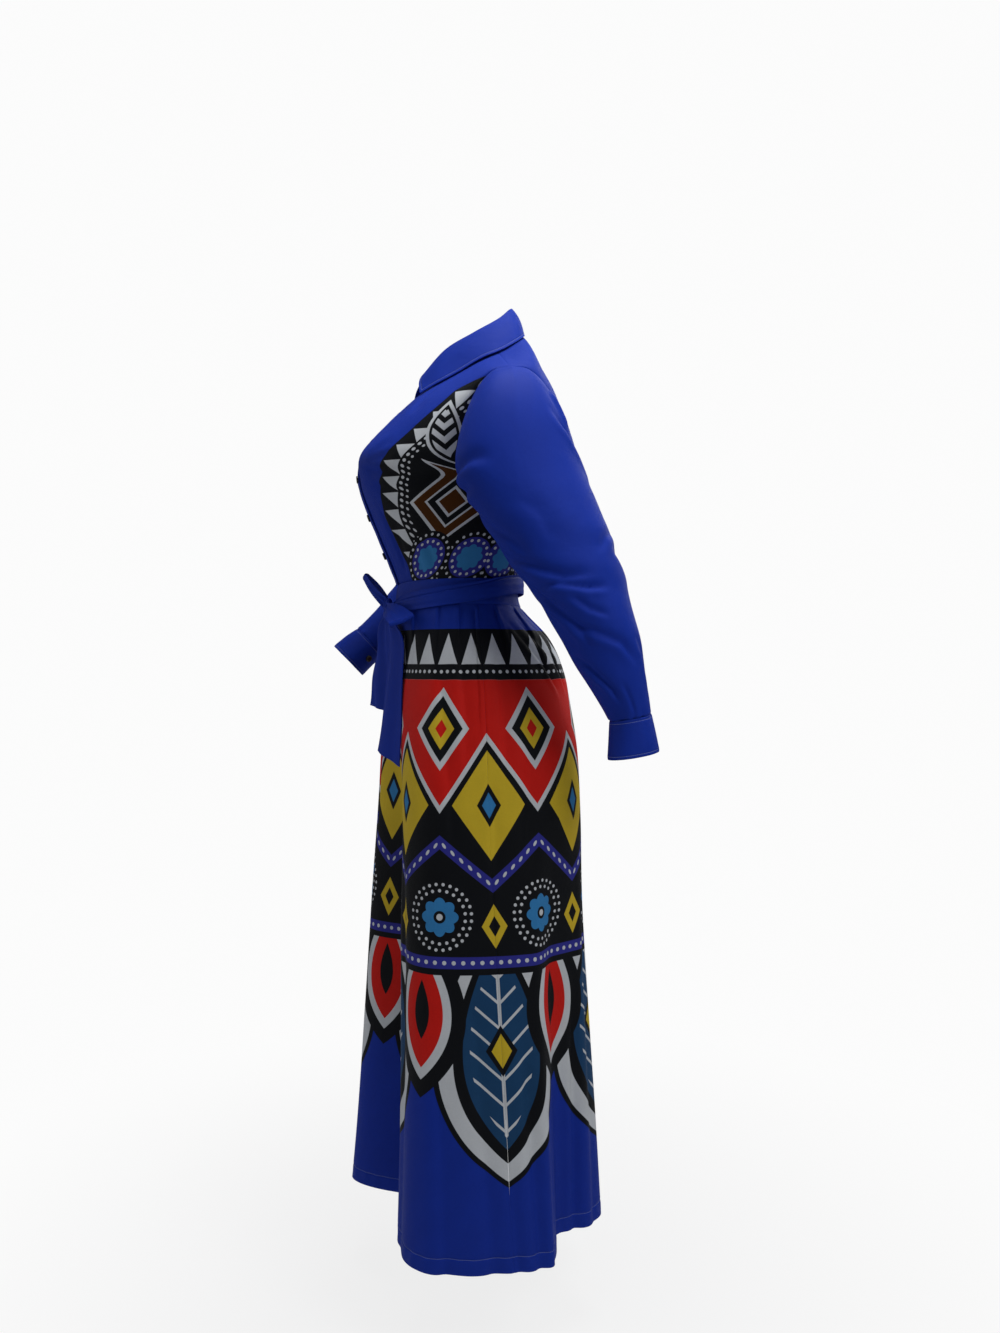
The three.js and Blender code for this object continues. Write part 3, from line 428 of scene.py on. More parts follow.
def crease(places, path, width, depth, ends=0.3):
    """A soft trough along a path with one steep side and a low ridge beside it, fading at both ends."""
    path = np.array(path, float)
    steps = np.diff(path, axis=0)
    lengths = np.linalg.norm(steps, axis=1)
    starts = np.concatenate([[0], np.cumsum(lengths)])
    nearest = np.full(places.shape[:-1], np.inf)
    signed = np.zeros(places.shape[:-1])
    along = np.zeros(places.shape[:-1])
    for start, step, length, done in zip(path[:-1], steps, lengths, starts[:-1]):
        off = places - start
        t = np.clip((off @ step) / length**2, 0, 1)
        distance = np.linalg.norm(off - t[..., None] * step, axis=-1)
        side = np.sign(off[..., 0] * step[1] - off[..., 1] * step[0])
        nearer = distance < nearest
        nearest = np.where(nearer, distance, nearest)
        signed = np.where(nearer, distance * side, signed)
        along = np.where(nearer, (done + t * length) / starts[-1], along)
    taper = smooth(along / ends) * smooth((1 - along) / ends)
    steep = np.where(signed > 0, 0.6, 1.25) * width
    trough = bell(signed / steep)
    hump = bell((signed - 1.7 * width) / (1.1 * width))
    return depth * taper * (trough - RIDGE_SHARE * hump)


def ripple(places, scale, seed):
    """Low uneven waves between -1 and 1, from a few sines that don't repeat together."""
    a, b = places[..., 0] / scale, places[..., 1] / scale
    value = np.sin(1.0 * a + 0.37 * b + 1.3 * seed) * np.cos(0.41 * b - 0.23 * a + 0.7 * seed)
    value += 0.6 * np.sin(0.53 * a - 0.81 * b + 2.1 * seed)
    value += 0.4 * np.sin(1.71 * a + 0.59 * b + 0.4 * seed) * np.sin(0.67 * b + seed)
    return value / 2


def seam_dip(distance, depth=0.9, width=4.0):
    """How far cloth turns in beside a seam, at a distance from it."""
    return depth * np.clip(1 - distance / width, 0, 1) ** 2


def arc_lengths(points, axis):
    """Length along one axis of a grid from its first point."""
    steps = np.linalg.norm(np.diff(points, axis=axis), axis=-1)
    zero = np.zeros_like(np.take(steps, [0], axis=axis))
    return np.concatenate([zero, np.cumsum(steps, axis=axis)], axis=axis)


def closed_rows(points):
    """A tube's points with the first column again after the last."""
    return np.concatenate([points, points[:, :1]], axis=1)


def edge_distances(points, ring=False):
    """Way along the cloth from each edge of a grid of points. A tube's sides meet."""
    down = arc_lengths(points, 0)
    over = arc_lengths(closed_rows(points) if ring else points, 1)
    left = over[:, : points.shape[1]]
    return {"top": down, "bottom": down[-1:] - down, "left": left, "right": over[:, -1:] - left}


def set_uv(mesh, name, values, way_round=None):
    """Writes one pair of values for each vertex into a UV map.

    way_round: on a tube, the length of each row, at which its last column of faces ends.
    """
    layer = mesh.uv_layers.new(name=name)
    corners = np.empty(len(mesh.loops), dtype=np.int32)
    mesh.loops.foreach_get("vertex_index", corners)
    pairs = values.reshape(-1, 2)[corners]
    if way_round is not None:
        columns = values.shape[1]
        faces = corners.reshape(-1, 4) % columns
        wraps = (faces.max(axis=1) == columns - 1) & (faces.min(axis=1) == 0)
        wrapped = np.repeat(wraps, 4) & (corners % columns == 0)
        pairs[wrapped, 0] += way_round[corners[wrapped] // columns]
    layer.data.foreach_set("uv", pairs.astype(np.float32).ravel())


def cloth_piece(node, points, middle, outside, inside, thickness, ring=False, places=None, edge=None):
    """Makes the cloth that stands for a node, from a grid of outer points in millimetres.

    outside, inside: names of finishes. places: print coordinates. edge: distance from stitched edges.
    """
    name = f"{node}_cloth"
    rows, columns = points.shape[:2]
    order = np.arange(rows * columns).reshape(rows, columns)
    right = np.roll(order, -1, axis=1) if ring else order[:, 1:]
    left = order if ring else order[:, :-1]
    quads = np.stack([left[:-1], right[:-1], right[1:], left[1:]], axis=-1).reshape(-1, 4)
    if np.sum(grid_normals(points, ring) * (points - middle)) < 0:
        quads = quads[:, ::-1]
    mesh = bpy.data.meshes.new(name)
    mesh.vertices.add(rows * columns)
    mesh.vertices.foreach_set("co", (points.reshape(-1, 3) * MM).astype(np.float32).ravel())
    mesh.loops.add(quads.size)
    mesh.loops.foreach_set("vertex_index", quads.astype(np.int32).ravel())
    mesh.polygons.add(len(quads))
    mesh.polygons.foreach_set("loop_start", np.arange(0, quads.size, 4, dtype=np.int32))
    mesh.update(calc_edges=True)
    over = arc_lengths(closed_rows(points) if ring else points, 1) * MM
    down = (arc_lengths(points, 0) * MM).mean(axis=1, keepdims=True)
    u = over[:, :columns]
    set_uv(mesh, "Cloth", np.stack([u, down + 0 * u], axis=-1), over[:, -1] if ring else None)
    if places is not None:
        set_uv(mesh, "Print", places[0])
        set_uv(mesh, "Row", places[1])
    if edge is not None:
        set_uv(mesh, "Edge", edge)
    piece = bpy.data.objects.new(name, mesh)
    bpy.context.scene.collection.objects.link(piece)
    mesh.materials.append(CLOTHS[outside])
    mesh.materials.append(CLOTHS[inside])
    solid = piece.modifiers.new("Cloth thickness", "SOLIDIFY")
    solid.thickness = thickness
    solid.offset = -1
    solid.use_rim = True
    solid.material_offset = 1
    apply_modifiers(piece)
    piece.data.shade_smooth()
    piece.data.set_sharp_from_angle(angle=SHARP_ANGLE)
    return finish_piece(piece, node)


def apply_modifiers(piece):
    """Applies every modifier of a piece, as the Apply button does."""
    bpy.ops.object.select_all(action="DESELECT")
    piece.select_set(True)
    bpy.context.view_layer.objects.active = piece
    for name in [modifier.name for modifier in piece.modifiers]:
        bpy.ops.object.modifier_apply(modifier=name)


def finish_piece(piece, node):
    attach(piece, "root")
    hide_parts(node)
    return piece


def body_middle(points):
    middle = np.broadcast_to(BODY_MIDDLE, points.shape).copy()
    middle[..., 2] = np.minimum(points[..., 2], 0) - 30
    return middle


def bodice_places(points):
    """Where points of the bodice lie on the cloth: round it from the mid-line, and down."""
    round_it = np.arctan2(points[..., 0], 60 + np.abs(points[..., 1])) * 190
    return np.stack([round_it, points[..., 2]], axis=-1)


# Creases of a front, on the wearer's left: path (round, height), width, depth
FRONT_CREASES = (
    (((118, -206), (86, -196), (58, -187)), 7, 3.4),
    (((120, -222), (92, -224), (66, -206)), 6, 2.2),
    (((112, -170), (88, -176), (64, -182)), 6, 2.0),
    (((104, -150), (86, -164), (70, -176)), 7, 1.6),
    (((58, -345), (60, -290), (58, -232)), 4, 3.2),
    (((64, -345), (70, -300), (78, -262)), 9, 1.8),
    (((100, -345), (96, -318), (90, -290)), 8, 2.2),
    (((120, -345), (118, -310), (108, -276)), 7, 1.8),
    (((30, -345), (28, -300), (30, -250)), 6, 1.2),
    (((44, -80), (60, -112), (66, -140)), 10, 1.8),
    (((96, -60), (104, -92), (108, -118)), 9, 1.8),
    (((18, -112), (24, -150), (22, -186)), 7, 1.4),
)
BACK_CREASES = (
    (((96, -66), (84, -110), (74, -160)), 10, 3.2),
    (((-94, -62), (-84, -104), (-78, -150)), 10, 3.0),
    (((110, -205), (84, -228), (58, -240)), 9, 2.4),
    (((-110, -203), (-88, -224), (-60, -234)), 9, 2.6),
    (((96, -345), (82, -306), (62, -280)), 9, 2.6),
    (((-100, -345), (-88, -310), (-60, -276)), 9, 2.4),
    (((58, -345), (60, -290), (56, -236)), 4, 3.0),
    (((-58, -345), (-60, -290), (-55, -236)), 4, 3.0),
    (((20, -318), (-16, -312), (-50, -322)), 8, 2.2),
    (((44, -296), (10, -290), (-24, -297)), 9, 1.8),
    (((6, -60), (2, -110), (8, -150)), 12, 1.6),
    (((-30, 6), (0, 0), (34, 7)), 9, 1.4),
)


def crease_bodice(points, creases, side, strength):
    places = bodice_places(points)
    places[..., 0] *= side
    depth = 0.7 * ripple(places, 38, 2.0 + side)
    for path, width, deep in creases:
        depth = depth + crease(places, path, width, deep)
    return points - outward(points, body_middle(points), False) * (depth * strength)[..., None]


def dip_seams(points, middle, edges):
    """Turns cloth in beside its sewn edges: any of top, bottom, left and right."""
    far = edge_distances(points)
    dip = np.max([seam_dip(far[edge]) for edge in edges], axis=0)
    return points - outward(points, middle, False) * dip[..., None]


def front_grid(side, rows, columns):
    """Outer points of one front between its button band, the armhole, the side seam and the waist."""
    inner_edge = BAND_HALF + SEAM_GAP
    neck_share = 0.4
    v = spread(rows, 0.55)[:, None]
    u = spread(columns, 0.55)[None, :]
    start_turn = math.asin((inner_edge + THROAT_GAPE) / NECK_HALF_WIDTH)
    turn = mix(start_turn, math.pi / 2, np.clip(u / neck_share, 0, 1))
    on_neck = neck_level(turn, NECK_DROP_FRONT)
    beyond = np.clip((u - neck_share) / (1 - neck_share), 0, 1)
    x_top = np.where(u <= neck_share, neck_x(turn), mix(NECK_HALF_WIDTH, FRONT[0, 2], beyond))
    level_top = np.where(u <= neck_share, on_neck, 0.0)
    angle_top = bodice_angle(FRONT, level_top, x_top)

    def edge_angle(level):
        return bodice_angle(FRONT, level, inner_edge + gape(row_at(FRONT, level)[..., 0]))

    seam_angle = math.pi / 2 - SEAM_GAP / 200
    top_edge = edge_angle(level_top)
    top_share = (angle_top - top_edge) / (seam_angle - top_edge)
    level = mix(level_top, WAIST_LEVEL, v)
    share = mix(top_share, u, smooth(v))
    angle = np.minimum(mix(edge_angle(level), math.pi / 2, share), seam_angle)
    points = bodice_point(FRONT, level, angle)
    points[..., 0] *= side
    return points


def back_grid(rows, columns):
    neck_share = 0.37
    v = spread(rows, 0.55)[:, None]
    u = (2 * spread(columns, 0.6) - 1)[None, :]
    size = np.abs(u)
    turn = (math.pi / 2) * np.clip(size / neck_share, 0, 1)
    beyond = np.clip((size - neck_share) / (1 - neck_share), 0, 1)
    x_top = np.where(size <= neck_share, neck_x(turn), mix(NECK_HALF_WIDTH, BACK[0, 2], beyond))
    level_top = np.where(size <= neck_share, neck_level(turn, NECK_DROP_BACK), 0.0)
    angle_top = bodice_angle(BACK, level_top, x_top)
    level = mix(level_top, WAIST_LEVEL, v)
    turned = mix(angle_top / (math.pi / 2), size, smooth(v)) * (math.pi / 2)
    points = bodice_point(BACK, level, np.minimum(turned, math.pi / 2 - SEAM_GAP / 200))
    points[..., 0] *= np.sign(u)
    return points


def print_uvs(points, outwards, inwards, total):
    down = -points[..., 2] * MM
    return np.stack([outwards, down], axis=-1), np.stack([inwards, total + 0 * down], axis=-1)


def print_places(points):
    """Print coordinates of a front in metres: from the mid-line, down, and in from its side edge."""
    over = arc_lengths(points, 1) * MM
    total = over[:, -1:]
    return print_uvs(points, over, total - over, total)


def back_print_places(points):
    """As print_places, for the whole back: from the mid-line both ways, and in from the nearer side edge."""
    over = arc_lengths(points, 1) * MM
    total = over[:, -1:]
    outwards = np.abs(over - total / 2)
    return print_uvs(points, outwards, total / 2 - outwards, total)


def band_grid(from_x, to_x, side, lift, rows, columns):
    """Outer points of a button band, which falls open at the neck towards one side."""

    def neck_turn(x):
        return np.arcsin(np.abs(x) / NECK_HALF_WIDTH)

    panel_top = neck_level(neck_turn(BAND_HALF + SEAM_GAP + THROAT_GAPE), NECK_DROP_FRONT)
    v = spread(rows, 0.5)[:, None]
    line = mix(from_x, to_x, spread(columns, 0.6))[None, :] + 0 * v
    on_neckline = neck_level(neck_turn(line + side * THROAT_GAPE), NECK_DROP_FRONT)
    blend = smooth(v / 0.06)
    level = mix(on_neckline, mix(panel_top, WAIST_LEVEL, v), blend)
    angle = bodice_angle(FRONT, level, line + side * gape(row_at(FRONT, level)[..., 0]))
    wave = 0.5 * np.sin(v * 34) * np.sin(v * 11 + 1)
    return lifted_bodice_point(FRONT, level, angle, lift + wave + 0 * line)


def collar_half(columns):
    """Points of the collar's fold, lower edge and neck seam from its front end to the centre back."""
    s = np.linspace(0, 1, columns)
    place = s * (len(COLLAR) - 1)
    row = row_at(COLLAR, place)
    fold = row[:, :3]
    is_front = row[:, 4] < 0
    level = np.abs(row[:, 4])
    x = np.maximum(row[:, 3], 0)
    on_front = bodice_point(FRONT, level, bodice_angle(FRONT, level, x))
    on_back = bodice_point(BACK, level, bodice_angle(BACK, level, x))
    leaf = np.where(is_front[:, None], on_front, on_back)
    on_shoulder = bell(row[:, 4] / 0.8)[:, None]
    away = np.stack([0 * s, np.where(is_front, -1.0, 1.0), 0 * s + 0.45], axis=-1)
    leaf = leaf + unit(mix(away, np.array([0.2, 0, 1]), on_shoulder)) * COLLAR_LIFT
    first = s < 0.5
    turn = np.where(first, mix(COLLAR_FRONT_TURN, math.pi / 2, 2 * s), mix(math.pi / 2, 0, 2 * s - 1))
    front_level = neck_level(turn, NECK_DROP_FRONT)
    back_level = neck_level(turn, NECK_DROP_BACK)
    base_front = bodice_point(FRONT, front_level, bodice_angle(FRONT, front_level, neck_x(turn)))
    base_back = bodice_point(BACK, back_level, bodice_angle(BACK, back_level, neck_x(turn)))
    base = np.where(first[:, None], base_front, base_back)
    return fold, leaf, base


def both_halves(half):
    """A grid of half the collar, mirrored and joined at the centre back."""
    mirrored = half * np.array([-1, 1, 1])
    return np.concatenate([mirrored, half[:, -2::-1]], axis=1)


def neck_middle(points):
    middle = np.zeros_like(points)
    middle[..., 1] = np.clip(points[..., 1] * 0.4, -40, 10)
    middle[..., 2] = points[..., 2] - 10
    return middle


def collar_leaf_grid(rows, columns):
    fold, leaf, _ = collar_half(columns)
    v = np.linspace(0, 1, rows)[:, None, None]
    out = unit(np.stack([fold[:, 0], fold[:, 1] + 12, 0 * fold[:, 0]], axis=-1))
    proud = mix(2.3, 0, v) + 3.5 * np.sin(math.pi * v) * (1 - 0.4 * v)
    s = np.linspace(0, 1, columns)[None, :, None]
    uneven = 0.5 * np.sin(9 * s + 2 * v) * v + 0.35 * np.sin(23 * s - 3 * v) * v
    roll = 1.4 * (1 - v) ** 6
    return both_halves(mix(fold, leaf, v) + out * (proud + uneven - roll))


def collar_stand_grid(rows, columns):
    fold, _, base = collar_half(columns)
    v = np.linspace(0, 1, rows)[:, None, None]
    return both_halves(mix(base + np.array([0, 0, 0.4]), fold, v))


# Sleeves
def armhole_point(turn):
    is_front = turn <= math.pi
    level = UNDERARM_LEVEL * np.where(is_front, turn, 2 * math.pi - turn) / math.pi
    quarter = np.full_like(level, math.pi / 2)
    front = bodice_point(FRONT, level, quarter)
    back = bodice_point(BACK, level, quarter)
    return np.where(is_front[..., None], front, back)


def section_point(row, turn):
    front_y, front_z, back_y, back_z, inner, outer = (row[..., k] for k in range(6))
    middle = np.stack([inner + outer, front_y + back_y, front_z + back_z], axis=-1) / 2
    sideways = np.cos(turn) * (outer - inner)
    ahead = np.sin(turn)
    return middle + np.stack([sideways, ahead * (front_y - back_y), ahead * (front_z - back_z)], axis=-1) / 2


def cap_point(table, turn, t):
    """The sleeve's cap leaves the armhole outwards and turns down into the first section."""
    start = armhole_point(turn) + np.array([0.5, 0, 0])
    first = section_point(row_at(table, 0.0), turn)
    following = section_point(row_at(table, 0.3), turn)
    low = (1 - np.cos(turn)) / 2
    leave = unit(np.stack([mix(1, 0.55, low), -0.3 * np.sin(turn), mix(-0.25, -1, low)], axis=-1))
    reach = np.linalg.norm(first - start, axis=-1)
    leave = leave * (reach * mix(1.15, 0.8, low))[..., None]
    arrive = unit(following - first) * (reach * 0.9)[..., None]
    return hermite(start, first, leave, arrive, t)


# Folds that the solids have too: share along, depth, width, waves round, turn
SLEEVE_FOLDS = (
    (0.3, 3, 0.06, 2, 0.6),
    (0.46, 4, 0.05, 2, 1.6),
    (0.56, 4, 0.05, 3, 2.6),
    (0.7, 3, 0.06, 2, 0.2),
)
# Creases of the hanging sleeve: path (degrees round from the outside to the front, share down), width, depth
HANGING_CREASES = (
    (((-34, 0.11), (-62, 0.15), (-88, 0.21), (-108, 0.3)), 7, 6.0),
    (((-78, 0.03), (-88, 0.08), (-96, 0.14), (-104, 0.2)), 5, 5.0),
    (((-52, 0.05), (-66, 0.09), (-76, 0.14)), 7, -3.4),
    (((116, 0.21), (84, 0.205), (50, 0.2), (22, 0.21)), 7, 4.6),
    (((128, 0.25), (94, 0.265), (58, 0.255)), 7, 3.8),
    (((120, 0.3), (92, 0.34), (60, 0.42), (44, 0.5)), 8, 3.6),
    (((98, 0.44), (62, 0.49), (24, 0.55), (-16, 0.57)), 8, 5.6),
    (((72, 0.56), (36, 0.565), (2, 0.6), (-34, 0.62)), 6, 4.8),
    (((104, 0.53), (66, 0.6), (40, 0.7), (34, 0.78)), 7, 4.6),
    (((30, 0.6), (12, 0.66), (-12, 0.7)), 5, 3.6),
    (((-60, 0.5), (-84, 0.56), (-100, 0.64)), 8, 2.6),
    (((-30, 0.52), (-52, 0.47), (-86, 0.45)), 9, 2.4),
    (((62, 0.69), (24, 0.72), (-14, 0.78), (-34, 0.86)), 7, 4.4),
    (((86, 0.77), (58, 0.82), (34, 0.9), (28, 0.96)), 6, 3.8),
    (((-40, 0.76), (-62, 0.84), (-70, 0.95)), 8, 2.2),
    (((10, 0.88), (4, 0.94), (2, 1.0)), 5, 1.8),
    (((150, 0.52), (186, 0.55), (222, 0.5)), 9, 3.6),
    (((160, 0.6), (196, 0.62), (236, 0.58)), 8, 3.0),
    (((170, 0.7), (206, 0.74), (240, 0.7)), 9, 2.6),
    (((140, 0.86), (166, 0.9), (190, 0.97)), 7, 2.0),
    (((176, 0.3), (204, 0.35), (232, 0.33)), 9, 3.0),
    (((20, 0.3), (10, 0.38), (16, 0.46)), 12, 1.8),
)
BENT_CREASES = (
    (((-40, 0.10), (-66, 0.14), (-96, 0.2)), 8, 3.4),
    (((112, 0.22), (84, 0.24), (46, 0.26)), 8, 3.4),
    (((120, 0.34), (86, 0.38), (40, 0.4)), 8, 4.6),
    (((126, 0.42), (92, 0.46), (44, 0.49)), 8, 4.8),
    (((118, 0.52), (84, 0.53), (30, 0.56)), 8, 4.2),
    (((150, 0.36), (180, 0.42), (214, 0.44)), 9, 4.0),
    (((150, 0.48), (184, 0.52), (226, 0.5)), 9, 3.8),
    (((60, 0.62), (24, 0.66), (-20, 0.68)), 9, 3.0),
    (((-30, 0.44), (-60, 0.5), (-88, 0.58)), 11, 2.6),
    (((-20, 0.56), (-56, 0.62), (-84, 0.72)), 9, 2.8),
    (((100, 0.72), (70, 0.8), (44, 0.9)), 8, 2.6),
    (((-40, 0.8), (-60, 0.88), (-70, 0.96)), 8, 2.2),
    (((170, 0.74), (204, 0.8), (236, 0.76)), 9, 2.8),
    (((10, 0.84), (0, 0.92), (4, 1.0)), 6, 2.0),
    (((20, 0.26), (6, 0.32), (10, 0.4)), 12, 2.0),
)
SLEEVE_LENGTH = 560.0
SLEEVE_GIRTH = 370.0
SLEEVE_CAP_SHARE = 0.28


def sleeve_grid(table, side, creases, strength, rows, columns):
    turn = round_turns(columns)
    cap_rows = int(rows * SLEEVE_CAP_SHARE)
    t_cap = np.linspace(0, 1, cap_rows + 1)[:-1, None, None]
    cap = cap_point(table, turn, t_cap)
    t = np.linspace(0, 1, rows - cap_rows)[:, None]
    arm = section_point(row_at(table, t * (len(table) - 1)), turn)
    along = mix(SLEEVE_CAP_SHARE, 1, t)
    fold = 0
    for at, depth, width, waves, shift in SLEEVE_FOLDS:
        near = bell((along - at) / width)
        fold = fold + depth * near * np.sin(waves * turn + shift + 20 * (along - at))
    ease = smooth(t * 4) * smooth((1 - t) * 6)
    arm = arm - unit(arm - ring_middle(arm)) * (0.6 * ease * fold)[..., None]
    points = np.concatenate([cap, arm], axis=0) * np.array([side, 1, 1])
    down = arc_lengths(points, 0)
    share = (down / down[-1:]).mean(axis=1, keepdims=True)
    lengths = share * SLEEVE_LENGTH + 0 * turn
    depth = 0.0
    for round_more in (-360, 0, 360):
        girth = (np.degrees(turn) + round_more) / 360 * SLEEVE_GIRTH + 0 * share
        places = np.stack([girth, lengths], axis=-1)
        for path, width, deep in creases:
            metric = [(a / 360 * SLEEVE_GIRTH, b * SLEEVE_LENGTH) for a, b in path]
            depth = depth + crease(places, metric, width, deep)
    wavy = np.stack([60 * np.sin(turn) + 0 * share, lengths + 30 * np.cos(turn)], axis=-1)
    waves = 0.5 * ripple(wavy, 40, side)
    last = (1 - share) * SLEEVE_LENGTH
    gather = 0.9 * np.exp(-last / 16) * np.sin(9 * turn + 2 * np.sin(3 * turn))
    middle = ring_middle(points)
    dip = np.maximum(seam_dip(share * SLEEVE_LENGTH, 1.6, 6), seam_dip(last, 1.0, 4))
    total = strength * (depth + waves + gather) + dip
    return points - outward(points, middle, True) * total[..., None], middle


def cuff_rows(sleeve_table, table):
    start, following = sleeve_table[-1], table[0]
    share = 2 * SEAM_GAP / math.hypot(following[0] - start[0], following[1] - start[1])
    return np.vstack([mix(start, following, share), table])


def cuff_grid(rows_table, side, rows, columns):
    turn = round_turns(columns)
    t = np.linspace(0, 1, rows)[:, None]
    points = section_point(row_at(rows_table, t * (len(rows_table) - 1)), turn)
    points = points * np.array([side, 1, 1])
    middle = ring_middle(points)
    roll = 0.7 * np.clip(1 - (1 - t) / 0.08, 0, 1) ** 2 + 0.7 * np.clip(1 - t / 0.08, 0, 1) ** 2
    wave = 0.5 * np.sin(3 * turn + 2 * t) * t + 0.3 * np.sin(7 * turn + 1)
    return points - outward(points, middle, True) * (roll + wave)[..., None], middle


# Skirt
def skirt_fold(angle, z):
    turn = np.degrees(angle)
    depth = np.zeros(np.broadcast(turn, z).shape)
    for at, deep, before, after, top in SKIRT_FOLDS:
        away = (turn - at + 180) % 360 - 180
        reach = np.abs(away) / np.where(away < 0, before, after)
        grown = np.clip((top - z) / (top - HEM_Z), 0, 1) ** 0.75
        depth = depth + np.where(reach < 1, deep * grown * np.cos((math.pi / 2) * reach) ** 2, 0)
    return depth


def skirt_pleats(angle, z):
    """Pressed pleats: one edge steps down sharply and the cloth comes back slowly on the other side."""
    turn = np.degrees(angle)
    depth = np.zeros(np.broadcast(turn, z).shape)
    for at, deep, length, way in WAIST_PLEATS:
        away = ((turn - at + 180) % 360 - 180) * PLEAT_DEGREE * way
        drop = (WAISTBAND_BOTTOM_Z - z) / length
        fade = smooth(drop * 12) * np.clip(1 - drop, 0, 1) ** 0.8
        step = smooth((away + 1.2) / 2.4) * np.exp(-np.clip(away, 0, None) / 9)
        lip = 0.35 * bell((away + 5) / 5)
        depth = depth + 0.62 * deep * fade * (step - lip)
    return depth


def skirt_point(angle, z, folds=True):
    angle, z = np.broadcast_arrays(np.asarray(angle, float), np.asarray(z, float))
    _, front, back, side, seam, square = np.moveaxis(row_at(SKIRT, place_of_height(SKIRT, z)), -1, 0)
    ahead = forward(angle, square)
    x = side * across(angle, square)
    y = np.where(ahead > 0, mix(seam, front, ahead), mix(seam, back, -ahead))
    point = np.stack([x, y, z], axis=-1)
    if folds:
        out = unit(np.stack([x, y - seam, 0 * x], axis=-1))
        point = point - out * (skirt_fold(angle, z) + skirt_pleats(angle, z))[..., None]
    return point


# Creases of the skirt: path (degrees round from the front to the wearer's left, height), width, depth
SKIRT_CREASES = (
    (((108, -388), (117, -424), (130, -468), (140, -520)), 5, 6.0),
    (((118, -388), (128, -420), (142, -462), (152, -520)), 6, 7.0),
    (((132, -388), (142, -420), (154, -470)), 6, 5.0),
    (((70, -392), (76, -460), (80, -540), (80, -640)), 9, 2.4),
    (((96, -420), (99, -520), (97, -640)), 8, 2.4),
    (((91, -600), (92, -700), (91, -800)), 7, 2.2),
    (((60, -420), (66, -520), (72, -640), (74, -760)), 10, 2.6),
    (((112, -520), (108, -640), (104, -780)), 11, 2.8),
    (((80, -900), (82, -1050), (84, -1287)), 10, 3.6),
    (((99, -960), (100, -1100), (101, -1287)), 8, 4.4),
    (((66, -1020), (68, -1150), (69, -1287)), 9, 3.0),
    (((112, -1040), (111, -1160), (110, -1287)), 9, 3.6),
    (((90, -1120), (91, -1200), (92, -1287)), 7, 2.4),
    (((36, -700), (40, -900), (42, -1287)), 12, 4.0),
    (((-14, -420), (-16, -620), (-18, -900), (-18, -1287)), 12, 5.0),
    (((-28, -560), (-30, -800), (-31, -1287)), 10, 4.0),
    (((-66, -430), (-70, -640), (-72, -900)), 10, 4.0),
    (((-76, -800), (-78, -1000), (-78, -1287)), 10, 4.0),
    (((-104, -760), (-106, -1000), (-107, -1287)), 10, 4.0),
    (((-146, -420), (-148, -620), (-150, -900), (-150, -1287)), 12, 5.0),
    (((-118, -388), (-128, -424), (-138, -480)), 6, 5.0),
    (((-164, -480), (-166, -760), (-168, -1287)), 12, 4.0),
    (((154, -700), (152, -900), (150, -1287)), 11, 4.6),
    (((140, -900), (138, -1080), (137, -1287)), 8, 3.6),
    (((-132, -980), (-133, -1287)), 9, 3.0),
    (((-52, -900), (-53, -1287)), 9, 3.4),
    (((10, -470), (12, -640), (13, -860)), 8, 3.0),
    (((22, -640), (24, -860), (24, -1287)), 9, 3.4),
)
# Millimetres of cloth for each degree round the skirt and along its waist seam
DEGREE = 2.9
PLEAT_DEGREE = 2.6


def skirt_grid(middle_angle, strength, rows, columns):
    """Outer points of a skirt panel, evenly spaced along the cloth of each row."""
    heights = mix(WAISTBAND_BOTTOM_Z - SEAM_GAP, HEM_Z, spread(rows) ** 1.12)
    stitch = HEM_Z + HEM_STITCH_RISE
    beside_stitch = stitch + np.array([-3, -1.5, 0, 1.5, 3])
    heights = np.unique(np.concatenate([heights, beside_stitch, HEM_Z + np.array([1.2, 3])]))
    heights = heights[::-1][:, None]
    quarter = math.pi / 2 - SEAM_GAP / 2 / 140
    dense = middle_angle + np.linspace(-quarter, quarter, 1401)[None, :]
    length = arc_lengths(skirt_point(dense, heights), 1)
    share = spread(columns, 0.35)
    angle = np.stack([np.interp(share, row / row[-1], dense[0]) for row in length])
    points = skirt_point(angle, heights)
    turn = (np.degrees(angle) + 180) % 360 - 180
    depth = 0.0
    for more in (-360, 0, 360):
        places = np.stack([(turn + more) * DEGREE, heights + 0 * angle], axis=-1)
        for path, width, deep in SKIRT_CREASES:
            metric = [(a * DEGREE, b) for a, b in path]
            to_hem = path[-1][1] <= HEM_Z + 1
            hem_path = metric + [(metric[-1][0], HEM_Z - 120)] if to_hem else metric
            depth = depth + crease(places, hem_path, width, deep, ends=0.22 if to_hem else 0.3)
    middle = upright_middle(points, -25)
    flare = smooth((WAISTBAND_BOTTOM_Z - heights) / 120)
    wavy = np.stack([260 * np.sin(angle), heights * 0.35 + 60 * np.cos(angle)], axis=-1)
    waves = 1.3 * ripple(wavy, 46, 3.0)
    hem_line = 0.6 * bell((heights - stitch) / 1.6)
    hem_pucker = 0.5 * bell((heights - stitch + 6) / 9) * np.sin(length[:, -1:] * share / 3.4)
    total = strength * flare * (depth + waves) + hem_line + hem_pucker
    points = points - outward(points, middle, False) * total[..., None]
    points = dip_seams(points, middle, ("top", "left", "right"))
    width = arc_lengths(points, 1)[:, -1:] * MM
    down = (WAISTBAND_BOTTOM_Z - heights) * MM + 0 * angle
    places = [np.stack([value + 0 * down, down], axis=-1) for value in (share, width)]
    return points, middle, places


